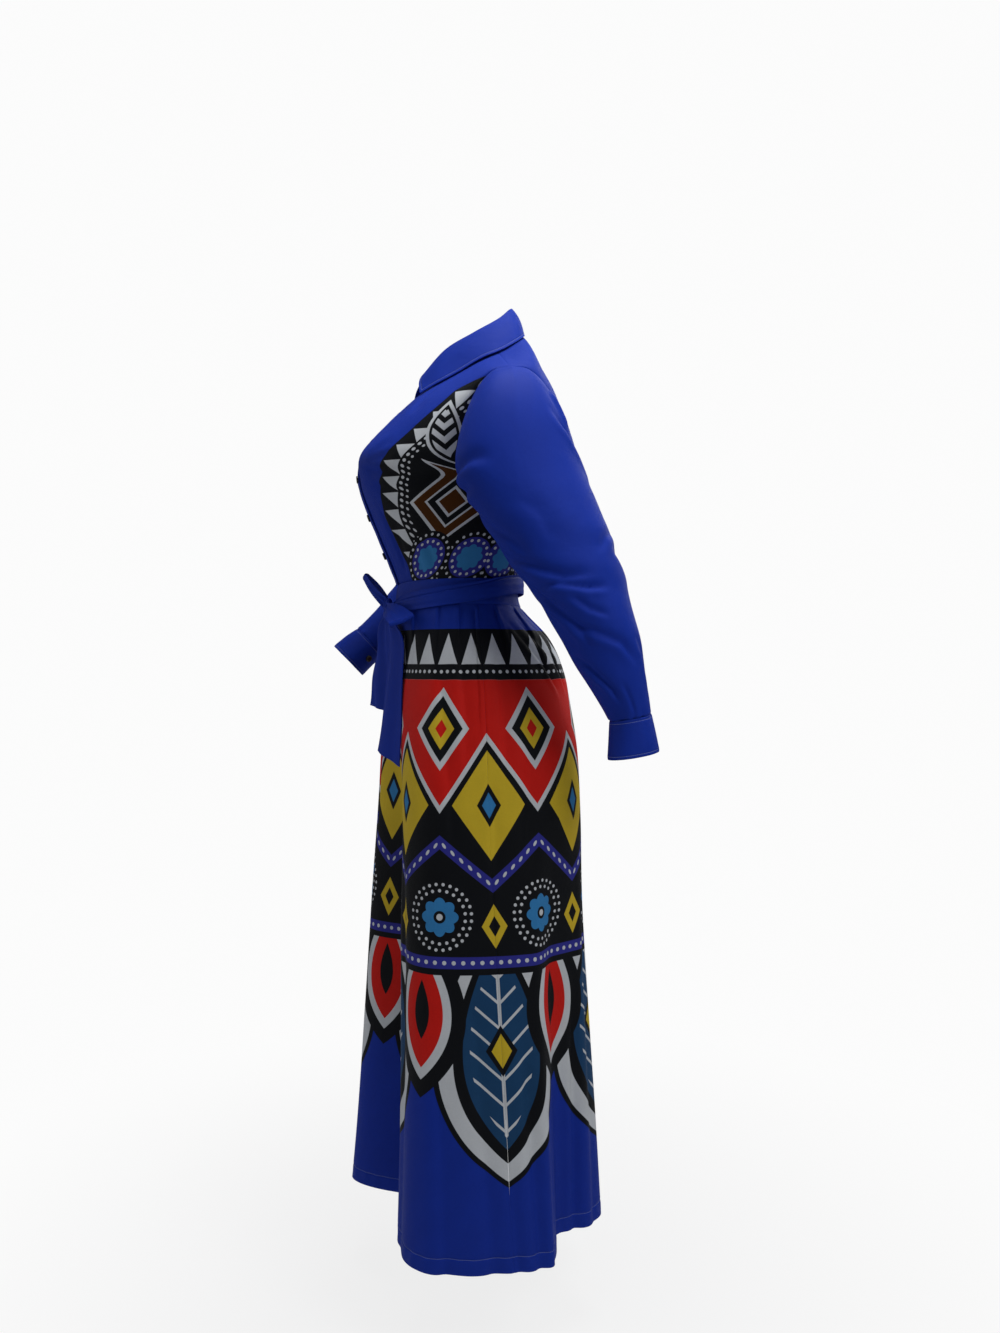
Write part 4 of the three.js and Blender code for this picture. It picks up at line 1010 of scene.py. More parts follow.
def waist_grid(rows, columns):
    turn = round_turns(columns)
    z = np.linspace(WAIST_Z - SEAM_GAP, WAISTBAND_BOTTOM_Z + SEAM_GAP, rows)[:, None]
    points = skirt_point(turn, z, folds=False)
    middle = upright_middle(points, WAIST_MIDDLE_Y)
    wave = 0.5 * np.sin(11 * turn + 3 * np.sin(2 * turn)) * np.sin(np.linspace(0, math.pi, rows))[:, None]
    edge = np.minimum(z[0] - z, z - z[-1])
    return points - outward(points, middle, True) * (wave + seam_dip(edge, 0.9, 4))[..., None], middle


def belt_grid(rows, columns):
    """The belt rises towards the back, narrows at the knot and lies in soft lengthwise folds."""
    turn = round_turns(columns)
    edge = np.linspace(1, -1, rows)[:, None]
    lower = np.clip(-edge, 0, 1)
    proud = BELT_CLEARANCE + BELT_SWELL * (1 - edge**2) + BELT_FLARE * lower
    base = skirt_point(turn, np.array(WAISTBAND_BOTTOM_Z - 0.01), folds=False)
    row = row_at(SKIRT, place_of_height(SKIRT, WAISTBAND_BOTTOM_Z))
    out = unit(np.stack([base[..., 0], base[..., 1] - row[4], 0 * base[..., 0]], axis=-1))
    height = BELT_FRONT_Z + BELT_BACK_RISE * (1 - np.cos(turn)) / 2
    at_knot = bell(np.sin(turn / 2) / BELT_PINCH_WIDTH)
    half = BELT_HEIGHT / 2 * (1 - BELT_PINCH * at_knot)
    folds = 0.5 * np.sin(5.2 * edge + 1.2 * np.sin(turn) + 0.6)
    folds = folds + 0.3 * np.sin(9 * edge - 2 * np.sin(2 * turn))
    folds = folds * (0.5 + 1.5 * at_knot)
    trough = 1.6 * bell((edge - 0.62 + 0.25 * np.sin(2 * turn + 0.4)) / 0.1) * (1 - 0.4 * at_knot)
    points = base + out * (proud + folds - trough)[..., None]
    points[..., 2] = height + edge * half + 0.8 * np.sin(3 * turn + 0.5) * np.abs(np.sin(turn / 2))
    middle = upright_middle(points, WAIST_MIDDLE_Y)
    return points, middle


# Bow
def loop_outline(length, bulge, inner_bulge, columns):
    """A loop seen along its cloth: up one side to the fold and back down the other, as along and out."""
    u = np.linspace(0, 1, columns)
    plain = mix(LOOP_START_HALF, LOOP_TIP_HALF, u)
    along = mix(LOOP_START_HALF, length - LOOP_TIP_HALF, u)

    def side(fullest):
        return plain + (fullest - plain) * np.sin(math.pi * u) ** 1.2

    turn = np.linspace(0, math.pi, columns // 4)[1:-1]
    tip = np.stack([length - LOOP_TIP_HALF + LOOP_TIP_HALF * np.sin(turn), LOOP_TIP_HALF * np.cos(turn)], -1)
    start = np.stack([LOOP_START_HALF - LOOP_START_HALF * np.sin(turn), -LOOP_START_HALF * np.cos(turn)], -1)
    front = np.stack([along, side(bulge)], -1)
    back = np.stack([along, -side(inner_bulge)], -1)[::-1]
    return np.concatenate([front, tip, back, start])


def loop_grid(loop, rows, columns):
    """A loop of the bow: a strip that goes out from the knot, turns at its tip and comes back."""
    start = np.array(loop["start"], float)
    along = np.array(loop["tip"], float) - start
    length = np.linalg.norm(along)
    along /= length
    outline = loop_outline(length, loop["bulge"], loop["inner_bulge"], columns)
    reach = outline[:, 0][None, :] / length
    share = np.clip(reach, 0, 1)[..., None]
    over = mix(np.array(loop["across"], float), np.array(loop["tip_across"], float), share)
    over = unit(over - along * (over @ along)[..., None])
    outwards = np.cross(over, along)
    outwards = outwards * -np.sign(outwards[..., 1:2])
    edge = np.linspace(-1, 1, rows)[:, None]
    half = mix(loop["width"], loop["tip_width"], reach) / 2
    way = np.sign(outline[:, 1])[None, :]
    gather = 1.1 * bell(reach / 0.3) * np.sin(7 * edge + 1.2 * way)
    fold = 1.3 * bell((edge - 0.35 + 0.5 * reach) / 0.22) * np.sin(math.pi * reach) * (way > 0)
    sag = 0.8 * np.sin(2.4 * edge + 4 * reach) * reach
    out = outline[:, 1][None, :] * (1 - 0.12 * edge**2) + way * (gather - fold) + sag
    rounded = -2.2 * edge**2 * reach**4
    return (
        start
        + along * (outline[:, 0][None, :] + rounded)[..., None]
        + outwards * out[..., None]
        + over * (edge * half)[..., None]
    )


def tail_grid(table, seed, rows, columns):
    v = np.linspace(0, 1, rows)[:, None]
    u = np.linspace(0, 1, columns)[None, :]
    row = row_at(table, v * (len(table) - 1))
    inner = row[..., :3]
    outer = row[..., 3:]
    crease_line = 2 * np.sin(math.pi * u) * np.sin(2.2 * v)
    fan = 2.4 * (1 - v) ** 2 * np.sin(9 * u + seed)
    curl = 2.2 * np.sin(2.7 * u * math.pi + 3.5 * v + seed) * smooth(v * 3)
    soft = 1.2 * np.sin(5 * v * math.pi + 2 * u + seed) * smooth(v * 3)
    shift = -(crease_line + 0.5 * fan + 0.7 * curl + 0.6 * soft)
    return mix(inner, outer, u[..., None]) + np.stack([0 * shift, shift, 0 * shift], axis=-1)


def knot_grid(rows, columns):
    """The knot: a pinched wrap of the belt with folds that run over it."""
    turn = round_turns(columns)
    v = np.linspace(0.02, 0.98, rows)[:, None] * math.pi
    fold = 1 + 0.07 * np.sin(5 * turn + 1.5 * np.cos(v) + 0.5) + 0.05 * np.sin(9 * turn - 2 * np.cos(v))
    waist = 1 - 0.12 * bell(np.cos(v) / 0.25)
    x = KNOT_PLACE[0] + 12.6 * np.sin(v) ** 0.7 * np.cos(turn) * fold * waist
    y = KNOT_PLACE[1] + 7.2 * np.sin(v) ** 0.7 * np.sin(turn) * fold
    z = KNOT_PLACE[2] + 12.2 * np.cos(v) + 0.9 * np.sin(2 * turn) + 0 * turn
    return np.stack([x, y, z], axis=-1)


class Graph:
    """Short ways to add and link nodes in one node tree."""

    def __init__(self, tree):
        self.tree = tree

    def node(self, kind, **settings):
        made = self.tree.nodes.new(kind)
        for name, value in settings.items():
            setattr(made, name, value)
        return made

    def put(self, socket, value):
        if isinstance(value, bpy.types.NodeSocket):
            self.tree.links.new(value, socket)
        else:
            socket.default_value = value

    def fill_sockets(self, sockets, values):
        for socket, value in zip(sockets, values):
            self.put(socket, value)

    def fill(self, made, *values):
        """Puts values into a node's first sockets and gives its first output."""
        self.fill_sockets(made.inputs, values)
        return made.outputs[0]

    def math(self, operation, *values, clamp=False):
        return self.fill(self.node("ShaderNodeMath", operation=operation, use_clamp=clamp), *values)

    def add(self, a, b):
        return self.math("ADD", a, b)

    def sub(self, a, b):
        return self.math("SUBTRACT", a, b)

    def mul(self, a, b):
        return self.math("MULTIPLY", a, b)

    def div(self, a, b):
        return self.math("DIVIDE", a, b)

    def abs(self, a):
        return self.math("ABSOLUTE", a)

    def square(self, a):
        return self.math("POWER", a, 2.0)

    def length(self, x, y):
        return self.math("SQRT", self.add(self.square(x), self.square(y)))

    def centred(self, value):
        """The part of a value behind its point, less a half."""
        return self.sub(self.math("FRACT", value), 0.5)

    def repeat(self, value, step):
        """How far a value is from the middle of its step."""
        return self.mul(self.centred(self.div(value, step)), step)

    def ranged(self, value, low, high, at_low, at_high):
        """A soft change from one amount to another between two values."""
        made = self.node("ShaderNodeMapRange", interpolation_type="SMOOTHSTEP")
        return self.fill(made, value, low, high, at_low, at_high)

    def noise(self, place, scale, detail):
        made = self.node("ShaderNodeTexNoise")
        made.inputs["Scale"].default_value = scale
        made.inputs["Detail"].default_value = detail
        self.put(made.inputs["Vector"], place)
        return made.outputs["Fac"]

    def over(self, below, above, mask):
        """One colour laid over another where a mask is 1."""
        made = self.node("ShaderNodeMix", data_type="RGBA", clamp_factor=True)
        self.put(made.inputs["Factor"], mask)
        self.put(made.inputs[6], below)
        self.put(made.inputs[7], above)
        return made.outputs[2]

    def split_uv(self, name):
        made = self.node("ShaderNodeUVMap", uv_map=name)
        parts = self.node("ShaderNodeSeparateXYZ")
        self.fill(parts, made.outputs[0])
        return parts.outputs[0], parts.outputs[1]

    def group(self, tree, **values):
        made = self.node("ShaderNodeGroup", node_tree=tree)
        for name, value in values.items():
            self.put(made.inputs[name], value)
        return made


PRINT_BLUR = 0.0005
STITCH_LENGTH = 0.0028
STITCH_SHARE = 0.76
THREAD_HALF_WIDTH = 0.00035
STITCH_DIP_HALF_WIDTH = 0.0012


def edge_mask(g, distance, soft=PRINT_BLUR):
    """1 where a signed distance is below 0, with a printed edge's small blur."""
    return g.math("SUBTRACT", 0.5, g.div(distance, soft), clamp=True)


def draw_cells(g, share, width, down, repeats, shift, centre):
    """Splits a row round the cloth into equal cells and gives metric places from each cell's centre."""
    cell = g.div(width, repeats)
    place = g.centred(g.add(g.mul(share, repeats), shift))
    return g.mul(place, cell), g.sub(down, centre), cell


def draw_band(g, down, start, end):
    return (edge_mask(g, g.math("MAXIMUM", g.sub(start, down), g.sub(down, end))),)


def draw_disc(g, x, y, radius):
    return (edge_mask(g, g.sub(g.length(x, y), radius)),)


def draw_flower(g, x, y, radius, petals, depth):
    """A rosette with rounded petals."""
    lobe = g.abs(g.math("COSINE", g.mul(g.math("ARCTAN2", y, x), g.div(petals, 2.0))))
    size = g.sub(1.0, g.mul(depth, g.sub(1.0, lobe)))
    return (edge_mask(g, g.sub(g.length(x, y), g.mul(radius, size))),)


def draw_dot_ring(g, x, y, radius, dots, dot):
    """A ring of dots round a centre."""
    turn = g.div(g.math("ARCTAN2", y, x), 2 * math.pi)
    step = g.div(g.mul(radius, 2 * math.pi), dots)
    side = g.mul(g.centred(g.mul(turn, dots)), step)
    out = g.sub(g.length(x, y), radius)
    return (edge_mask(g, g.sub(g.length(side, out), dot)),)


def draw_diamond(g, x, y, half_width, half_height):
    reach = g.add(g.div(g.abs(x), half_width), g.div(g.abs(y), half_height))
    return (edge_mask(g, g.mul(g.sub(reach, 1.0), half_width)),)


def draw_leaf(g, x, y, half_width, half_height, low):
    """A leaf that is pointed at both ends. Low moves its fullest place up or down."""
    y = g.div(y, half_height)
    bowed = g.add(y, g.mul(low, g.sub(g.square(y), 1.0)))
    wide = g.mul(half_width, g.sub(1.0, g.square(bowed)))
    inside = edge_mask(g, g.sub(g.abs(x), wide))
    return (g.mul(inside, g.math("LESS_THAN", g.abs(y), 1.0)),)


def draw_teeth(g, x, y, cell, height, fill):
    """A row of triangles that stand on a line and point up."""
    up = g.add(g.div(y, height), 0.5)
    half = g.mul(g.mul(cell, 0.5), fill)
    side = g.sub(g.abs(x), g.mul(half, up))
    low = g.sub(y, g.mul(height, 0.5))
    return (edge_mask(g, g.math("MAXIMUM", side, low)),)


def draw_zigzag(g, x, y, cell, rise):
    """How far a place lies below a zigzag line."""
    share = g.div(g.abs(x), g.mul(cell, 0.5))
    return (g.sub(y, g.mul(g.sub(0.5, share), g.mul(rise, 2.0))),)


def draw_weave(g, across, down):
    """Fine twill and a few slack places, as a height and a change of colour: fine random streaks of tone,
    painted shade where the slack places dip and a painted highlight on the thread ridges.
    """
    rib = g.math("SINE", g.add(g.mul(across, 9000.0), g.mul(down, 5200.0)))
    cross = g.math("SINE", g.sub(g.mul(down, 9000.0), g.mul(across, 2600.0)))
    threads = g.add(g.mul(rib, 0.6), g.mul(cross, 0.4))
    place = g.fill(g.node("ShaderNodeCombineXYZ"), across, down)
    slack = g.sub(g.noise(place, 26.0, 3.0), 0.5)
    streak = g.sub(g.noise(place, 420.0, 2.0), 0.5)
    height = g.add(g.mul(threads, 0.05), g.mul(slack, 1.4))
    # The slack term paints shade where the bump dips, and the threads term below paints a highlight on the
    # thread ridges; the streaks are random tone.
    shade = g.add(g.mul(streak, 0.14), g.mul(slack, 0.16))
    return height, g.add(shade, g.mul(threads, 0.02))


def draw_stitch(g, along, distance, line):
    """A line of stitches at a distance from an edge: a mask of thread and the dip that it pulls."""
    away = g.abs(g.sub(distance, line))
    step = g.centred(g.mul(along, 1 / STITCH_LENGTH))
    on = g.math("LESS_THAN", g.abs(step), STITCH_SHARE / 2)
    thread = g.mul(edge_mask(g, g.sub(away, THREAD_HALF_WIDTH), 0.0002), on)
    return thread, edge_mask(g, g.sub(away, STITCH_DIP_HALF_WIDTH), 0.0016)


# Shader node groups: title, function that draws it, inputs with their defaults, outputs
PLACE = {"X": 0.0, "Y": 0.0}
HALVES = {"Half Width": 0.05, "Half Height": 0.05}
PETALS = {"Radius": 0.02, "Petals": 8.0, "Depth": 0.2}
RING = {"Radius": 0.03, "Dots": 18.0, "Dot": 0.002}
TEETH = {"Cell": 0.03, "Height": 0.03, "Fill": 0.9}
CELLS = {"Share": 0.0, "Width": 1.0, "Down": 0.0, "Repeats": 4.0, "Shift": 0.0, "Centre": 0.0}
GROUPS = {
    "cells": ("Print Cells", draw_cells, CELLS, ("X", "Y", "Cell")),
    "band": ("Print Band", draw_band, {"Down": 0.0, "From": 0.0, "To": 0.1}, ("Mask",)),
    "disc": ("Print Disc", draw_disc, {**PLACE, "Radius": 0.02}, ("Mask",)),
    "flower": ("Print Flower", draw_flower, {**PLACE, **PETALS}, ("Mask",)),
    "dot_ring": ("Print Dot Ring", draw_dot_ring, {**PLACE, **RING}, ("Mask",)),
    "diamond": ("Print Diamond", draw_diamond, {**PLACE, **HALVES}, ("Mask",)),
    "leaf": ("Print Leaf", draw_leaf, {**PLACE, **HALVES, "Low": 0.0}, ("Mask",)),
    "teeth": ("Print Triangle Row", draw_teeth, {**PLACE, **TEETH}, ("Mask",)),
    "zigzag": ("Print Zigzag", draw_zigzag, {**PLACE, "Cell": 0.1, "Rise": 0.03}, ("Below",)),
    "weave": ("Cloth Weave", draw_weave, {"Across": 0.0, "Down": 0.0}, ("Height", "Shade")),
    "stitch": ("Topstitch", draw_stitch, {"Along": 0.0, "Distance": 0.0, "Line": 0.02}, ("Thread", "Dip")),
}


def make_group(title, draw, inputs, outputs):
    tree = bpy.data.node_groups.new(title, "ShaderNodeTree")
    for label, default in inputs.items():
        socket = tree.interface.new_socket(label, in_out="INPUT", socket_type="NodeSocketFloat")
        socket.default_value = default
    for label in outputs:
        tree.interface.new_socket(label, in_out="OUTPUT", socket_type="NodeSocketFloat")
    g = Graph(tree)
    given = [socket for socket in g.node("NodeGroupInput").outputs if socket.name]
    g.fill_sockets(g.node("NodeGroupOutput").inputs, draw(g, *given))
    return tree


class Inks:
    """The node groups of the cloth and its print, and the print's colours."""

    def __init__(self, colours):
        for name, parts in GROUPS.items():
            setattr(self, name, make_group(*parts))
        for name in ("blue", "black", "white", "red", "yellow", "sky", "violet", "teal", "brown"):
            setattr(self, name, (*getattr(colours, name), 1.0))


class Painter:
    """Paints printed motifs over the blue ground, each one above the last."""

    def __init__(self, g, inks):
        self.g = g
        self.inks = inks
        self.colour = inks.blue

    def paint(self, ink, mask):
        self.colour = self.g.over(self.colour, getattr(self.inks, ink), mask)

    def mask(self, kind, x, y, **sizes):
        named = {name.replace("_", " ").title(): size for name, size in sizes.items()}
        return self.g.group(getattr(self.inks, kind), X=x, Y=y, **named).outputs[0]

    def draw(self, ink, kind, x, y, **sizes):
        self.paint(ink, self.mask(kind, x, y, **sizes))

    def nest(self, kind, x, y, shapes, **sizes):
        """One shape inside another. shapes: ink, half width and half height of each."""
        for ink, half_width, half_height in shapes:
            self.draw(ink, kind, x, y, half_width=half_width, half_height=half_height, **sizes)


# Motifs of the print, in metres: ink, half width, half height and, for the long leaf, its fullest place
LONG_LEAF = (
    ("black", 0.098, 0.192, 0.22),
    ("white", 0.090, 0.184, 0.22),
    ("black", 0.068, 0.160, 0.2),
    ("teal", 0.054, 0.142, 0.16),
)
LONG_LEAF_HEART = (("black", 0.022, 0.034), ("yellow", 0.014, 0.023))
SHORT_LEAF = (
    ("black", 0.064, 0.118), ("white", 0.044, 0.094), ("red", 0.032, 0.078), ("black", 0.012, 0.040)
)
RED_DIAMOND = (
    ("white", 0.040, 0.058), ("black", 0.031, 0.046), ("yellow", 0.019, 0.029), ("red", 0.008, 0.013)
)
YELLOW_DIAMOND = (("yellow", 0.052, 0.076), ("black", 0.017, 0.030), ("sky", 0.010, 0.018))
SMALL_DIAMOND = (("yellow", 0.018, 0.030), ("black", 0.008, 0.014))
CHEVRON_LEAF = (("white", 0.027, 0.048), ("black", 0.022, 0.041))
LOZENGE = (
    ("white", 0.060), ("brown", 0.054), ("white", 0.038), ("black", 0.034), ("white", 0.023), ("brown", 0.018)
)
VEIN_STEP = 0.034
VEIN_HALF_WIDTH = 0.0024


def skirt_print(g, inks):
    """Borders of triangles, diamonds, zigzags, rosettes and hanging leaves."""
    share, down = g.split_uv("Print")
    width, _ = g.split_uv("Row")
    art = Painter(g, inks)

    def cells(repeats, centre, shift=0.0):
        place = {"Share": share, "Width": width, "Down": down, "Shift": shift, "Centre": centre}
        return tuple(g.group(inks.cells, Repeats=float(repeats), **place).outputs)

    def dots(centre, radius):
        x, y, _ = cells(48, centre)
        art.draw("white", "disc", x, y, radius=radius)

    def band(ink, start, end):
        art.paint(ink, g.group(inks.band, Down=down, From=start, To=end).outputs[0])

    # Long leaves and, between them, shorter ones hang from the borders over the plain ground
    x, y, _ = cells(3, 0.602, 0.5)
    for ink, half_width, half_height, low in LONG_LEAF:
        art.draw(ink, "leaf", x, y, half_width=half_width, half_height=half_height, low=low)
    rib = g.repeat(g.add(y, g.mul(g.abs(x), 0.9)), VEIN_STEP)
    veins = [edge_mask(g, g.sub(g.abs(line), VEIN_HALF_WIDTH)) for line in (rib, x)]
    inner = art.mask("leaf", x, y, half_width=0.044, half_height=0.126, low=0.14)
    art.paint("white", g.mul(g.math("MAXIMUM", *veins), inner))
    art.nest("diamond", x, g.sub(y, 0.012), LONG_LEAF_HEART)
    x, y, _ = cells(3, 0.56)
    art.nest("leaf", x, y, SHORT_LEAF, low=0.1)
    # Black ground of the borders, with triangles and dots along its upper edge
    band("black", 0.036, 0.512)
    x, y, cell = cells(13, 0.064)
    art.draw("white", "teeth", x, y, cell=cell, height=0.044, fill=0.84)
    dots(0.0965, 0.0025)
    # Red ground with a zigzag lower edge
    x, y, cell = cells(4, 0.232)
    below = art.mask("zigzag", x, y, cell=cell, rise=0.05)
    under_top = edge_mask(g, g.sub(0.108, down))
    art.paint("white", g.mul(under_top, edge_mask(g, g.sub(below, 0.011))))
    art.paint("red", g.mul(under_top, edge_mask(g, below)))
    art.nest("diamond", x, g.sub(down, 0.176), RED_DIAMOND)
    # Yellow diamonds in the notches of the zigzag
    x, y, cell = cells(4, 0.282, 0.5)
    art.nest("diamond", x, y, YELLOW_DIAMOND)
    # A violet ribbon of dots below them
    ribbon = art.mask("zigzag", x, g.sub(down, 0.362), cell=cell, rise=0.03)
    for ink, half in (("black", 0.015), ("violet", 0.0095)):
        art.paint(ink, edge_mask(g, g.sub(g.abs(ribbon), half)))
    bead_x, _, _ = cells(48, 0.362)
    art.draw("white", "disc", bead_x, ribbon, radius=0.0029)
    # Rosettes with two rings of dots, and small diamonds between them
    x, y, _ = cells(4, 0.434)
    art.draw("white", "dot_ring", x, y, radius=0.0445, dots=28.0, dot=0.0023)
    art.draw("white", "dot_ring", x, y, radius=0.0360, dots=22.0, dot=0.0023)
    art.draw("sky", "flower", x, y, radius=0.0265, petals=8.0, depth=0.2)
    art.draw("black", "disc", x, y, radius=0.0085)
    art.draw("white", "disc", x, y, radius=0.0045)
    x, y, _ = cells(4, 0.447, 0.5)
    art.nest("diamond", x, y, SMALL_DIAMOND)
    # The lowest border
    band("violet", 0.4875, 0.5035)
    dots(0.4955, 0.0029)
    return art.colour


def bodice_print(g, inks):
    """Black sides edged with triangles, with concentric lozenges above rosettes."""
    out, down = g.split_uv("Print")
    side, _ = g.split_uv("Row")
    art = Painter(g, inks)
    border = g.add(g.ranged(down, 0.09, 0.275, 0.195, 0.062), g.ranged(down, 0.055, 0.09, 0.06, 0.0))
    inside = g.mul(g.sub(out, border), 0.85)
    along = g.sub(g.mul(down, 0.85), g.mul(out, 0.45))
    art.paint("black", edge_mask(g, g.mul(inside, -1.0)))
    tooth = g.sub(inside, 0.0165)
    art.draw("white", "teeth", g.repeat(along, 0.027), tooth, cell=0.027, height=0.025, fill=0.9)
    for place, dot in ((0.0350, 0.0026), (0.0430, 0.0020)):
        art.draw("white", "disc", g.repeat(along, 0.0095), g.sub(inside, place), radius=dot)
    # A leaf of chevrons below the shoulder
    x = g.sub(side, 0.030)
    y = g.sub(down, 0.150)
    art.nest("leaf", x, y, CHEVRON_LEAF, low=0.1)
    chevron = g.repeat(g.add(y, g.mul(g.abs(x), 0.8)), 0.018)
    stripe = edge_mask(g, g.sub(g.abs(chevron), 0.0048))
    inner = art.mask("leaf", x, y, half_width=0.018, half_height=0.036, low=0.1)
    art.paint("white", g.mul(stripe, inner))
    # Concentric lozenges, a little wider than high
    x = g.sub(side, 0.076)
    y = g.sub(down, 0.240)
    art.nest("diamond", x, y, [(ink, half * 1.05, half * 0.95) for ink, half in LOZENGE])
    # Rosettes above the waist, with dots round them
    for place in (0.026, 0.092):
        x = g.sub(side, place)
        y = g.sub(down, 0.318)
        art.draw("black", "disc", x, y, radius=0.038)
        art.draw("white", "dot_ring", x, y, radius=0.0335, dots=22.0, dot=0.0020)
        art.draw("violet", "disc", x, y, radius=0.0285)
        art.draw("white", "dot_ring", x, y, radius=0.0238, dots=16.0, dot=0.0021)
        art.draw("sky", "flower", x, y, radius=0.0185, petals=8.0, depth=0.18)
    return art.colour


def edge_stitches(g):
    """Where topstitching runs along a piece's sewn edges: distance, way along and its line."""
    distance, along = g.split_uv("Edge")
    return distance, along, 0.0042


def hem_stitches(g):
    """As edge_stitches, above the skirt's hem."""
    along, _ = g.split_uv("Cloth")
    _, down = g.split_uv("Print")
    return g.sub((WAISTBAND_BOTTOM_Z - HEM_Z) * MM, down), along, HEM_STITCH_RISE * MM


def new_material(name):
    material = bpy.data.materials.new(name)
    material.use_nodes = True
    nodes = material.node_tree.nodes
    return material, Graph(material.node_tree), nodes["Principled BSDF"], nodes["Material Output"]


def cloth_material(name, colour, roughness=0.56, stitches=None):
    """Woven polyester with a soft sheen. colour: a plain colour, or a function that paints the print."""
    material, g, shader, _ = new_material(name)
    shader.inputs["Sheen Weight"].default_value = 0.008
    shader.inputs["Sheen Roughness"].default_value = 0.35
    shader.inputs["Specular IOR Level"].default_value = 0.07
    across, down = g.split_uv("Cloth")
    weave = g.group(INKS.weave, Across=across, Down=down)
    painted = colour(g, INKS) if callable(colour) else colour
    height = weave.outputs["Height"]
    if stitches:
        distance, along, line = stitches(g)
        stitch = g.group(INKS.stitch, Along=along, Distance=distance, Line=line)
        painted = g.over(painted, THREAD, g.mul(stitch.outputs["Thread"], 0.55))
        height = g.sub(height, g.mul(stitch.outputs["Dip"], 0.5))
    # The weave's colour change scales the colour: random tone, with painted shade in the slack dips and a
    # painted highlight on the thread ridges.
    tone = g.node("ShaderNodeHueSaturation")
    g.put(tone.inputs["Color"], painted)
    g.put(tone.inputs["Value"], g.add(1.0, weave.outputs["Shade"]))
    g.put(shader.inputs["Base Color"], tone.outputs[0])
    g.put(shader.inputs["Roughness"], g.add(roughness, g.mul(weave.outputs["Shade"], 0.4)))
    bump = g.node("ShaderNodeBump")
    bump.inputs["Strength"].default_value = 1.0
    bump.inputs["Distance"].default_value = 0.0009
    g.put(bump.inputs["Height"], height)
    g.put(shader.inputs["Normal"], bump.outputs[0])
    return material


def button_material(colour):
    """Polished black plastic with faint wear."""
    material, g, shader, _ = new_material("button_black")
    worn = g.noise(g.node("ShaderNodeTexCoord").outputs["Object"], 900.0, 4.0)
    g.put(shader.inputs["Roughness"], g.add(0.18, g.mul(worn, 0.18)))
    g.put(shader.inputs["Base Color"], g.over(colour, (0.03, 0.03, 0.034, 1.0), g.mul(worn, 0.25)))
    return material


INKS = None
THREAD = None
CLOTHS = {}


def make_materials(colours):
    """Builds the shader groups and the finishes once."""
    global INKS, THREAD
    if INKS is not None:
        return
    INKS = Inks(colours)
    THREAD = (*colours.thread, 1.0)
    # The reverse gets the face's blue at 0.7 times its brightness, as painted shade for the inside of the
    # dress; its higher roughness is its own finish.
    shaded_reverse_blue = (*(0.7 * part for part in colours.blue), 1.0)
    CLOTHS["blue"] = cloth_material("blue_cloth", INKS.blue)
    CLOTHS["stitched"] = cloth_material("blue_cloth_topstitched", INKS.blue, stitches=edge_stitches)
    CLOTHS["reverse"] = cloth_material("blue_cloth_reverse", shaded_reverse_blue, roughness=0.7)
    CLOTHS["bodice"] = cloth_material("printed_cloth_bodice", bodice_print)
    CLOTHS["skirt"] = cloth_material("printed_cloth_skirt", skirt_print, stitches=hem_stitches)
    CLOTHS["button"] = button_material(INKS.black)


def edge_uv(points, edges, ring=False):
    """Distance from the stitched edges and the way along them, in metres."""
    far = edge_distances(points, ring)
    distance = np.full(points.shape[:2], np.inf)
    along = np.zeros(points.shape[:2])
    for edge in edges:
        nearer = far[edge] < distance
        distance = np.where(nearer, far[edge], distance)
        along = np.where(nearer, far["left"] if edge in ("top", "bottom") else far["top"], along)
    return np.stack([distance, along], axis=-1) * MM


def colour_property(label, default):
    return bpy.props.FloatVectorProperty(
        name=label, description=f"{label} of the dress", subtype="COLOR", default=default, min=0, max=1
    )


def length_property(label, description, default):
    return bpy.props.FloatProperty(name=label, description=description, default=default, unit="LENGTH")


class DressSizes(bpy.types.PropertyGroup):
    cloth: length_property("Cloth thickness", "Thickness of each cloth wall", 0.0016)
    cuff_cloth: length_property("Cuff thickness", "Thickness of the doubled cuffs", 0.0022)
    bow_cloth: length_property("Bow thickness", "Thickness of the bow's knot and loops", 0.0014)
    creases: bpy.props.FloatProperty(
        name="Crease strength", description="How deep the cloth's creases are", default=1.0, min=0, max=2
    )
    button_radius: length_property("Button radius", "Radius of every button", 0.0056)
    button_thickness: length_property("Button thickness", "Thickness of every button", 0.0024)
    floor_z: length_property("Floor height", "Height of the floor below the shoulders", -1.44)


class DressColours(bpy.types.PropertyGroup):
    blue: colour_property("Royal blue", (0.008, 0.031, 0.31))
    black: colour_property("Black", (0.006, 0.007, 0.009))
    white: colour_property("Grey white", (0.56, 0.59, 0.62))
    red: colour_property("Red", (0.58, 0.013, 0.009))
    yellow: colour_property("Yellow", (0.60, 0.43, 0.028))
    sky: colour_property("Sky blue", (0.035, 0.20, 0.46))
    violet: colour_property("Violet blue", (0.030, 0.032, 0.26))
    teal: colour_property("Teal", (0.012, 0.055, 0.14))
    brown: colour_property("Brown", (0.075, 0.024, 0.004))
    thread: colour_property("Thread", (0.25, 0.30, 0.55))
    floor: colour_property("Floor", (0.80, 0.80, 0.80))


class PieceOperator:
    """What every operator of the dress shares."""

    bl_options = {"REGISTER", "UNDO"}

    def execute(self, context):
        sizes = context.scene.dress_sizes
        make_materials(context.scene.dress_colours)
        self.build(sizes)
        return {"FINISHED"}


class DRESS_OT_fronts(PieceOperator, bpy.types.Operator):
    """Both printed fronts, from the shoulder seam to the waist"""

    bl_idname = "dress.fronts"
    bl_label = "Fronts"

    def build(self, sizes):
        for name, side in (("front_left", 1), ("front_right", -1)):
            points = front_grid(side, rows=140, columns=104)
            points = crease_bodice(points, FRONT_CREASES, side, sizes.creases)
            middle = body_middle(points)
            points = dip_seams(points, middle, ("top", "bottom", "left", "right"))
            places = print_places(points)
            piece = cloth_piece(name, points, middle, "bodice", "reverse", sizes.cloth, places=places)


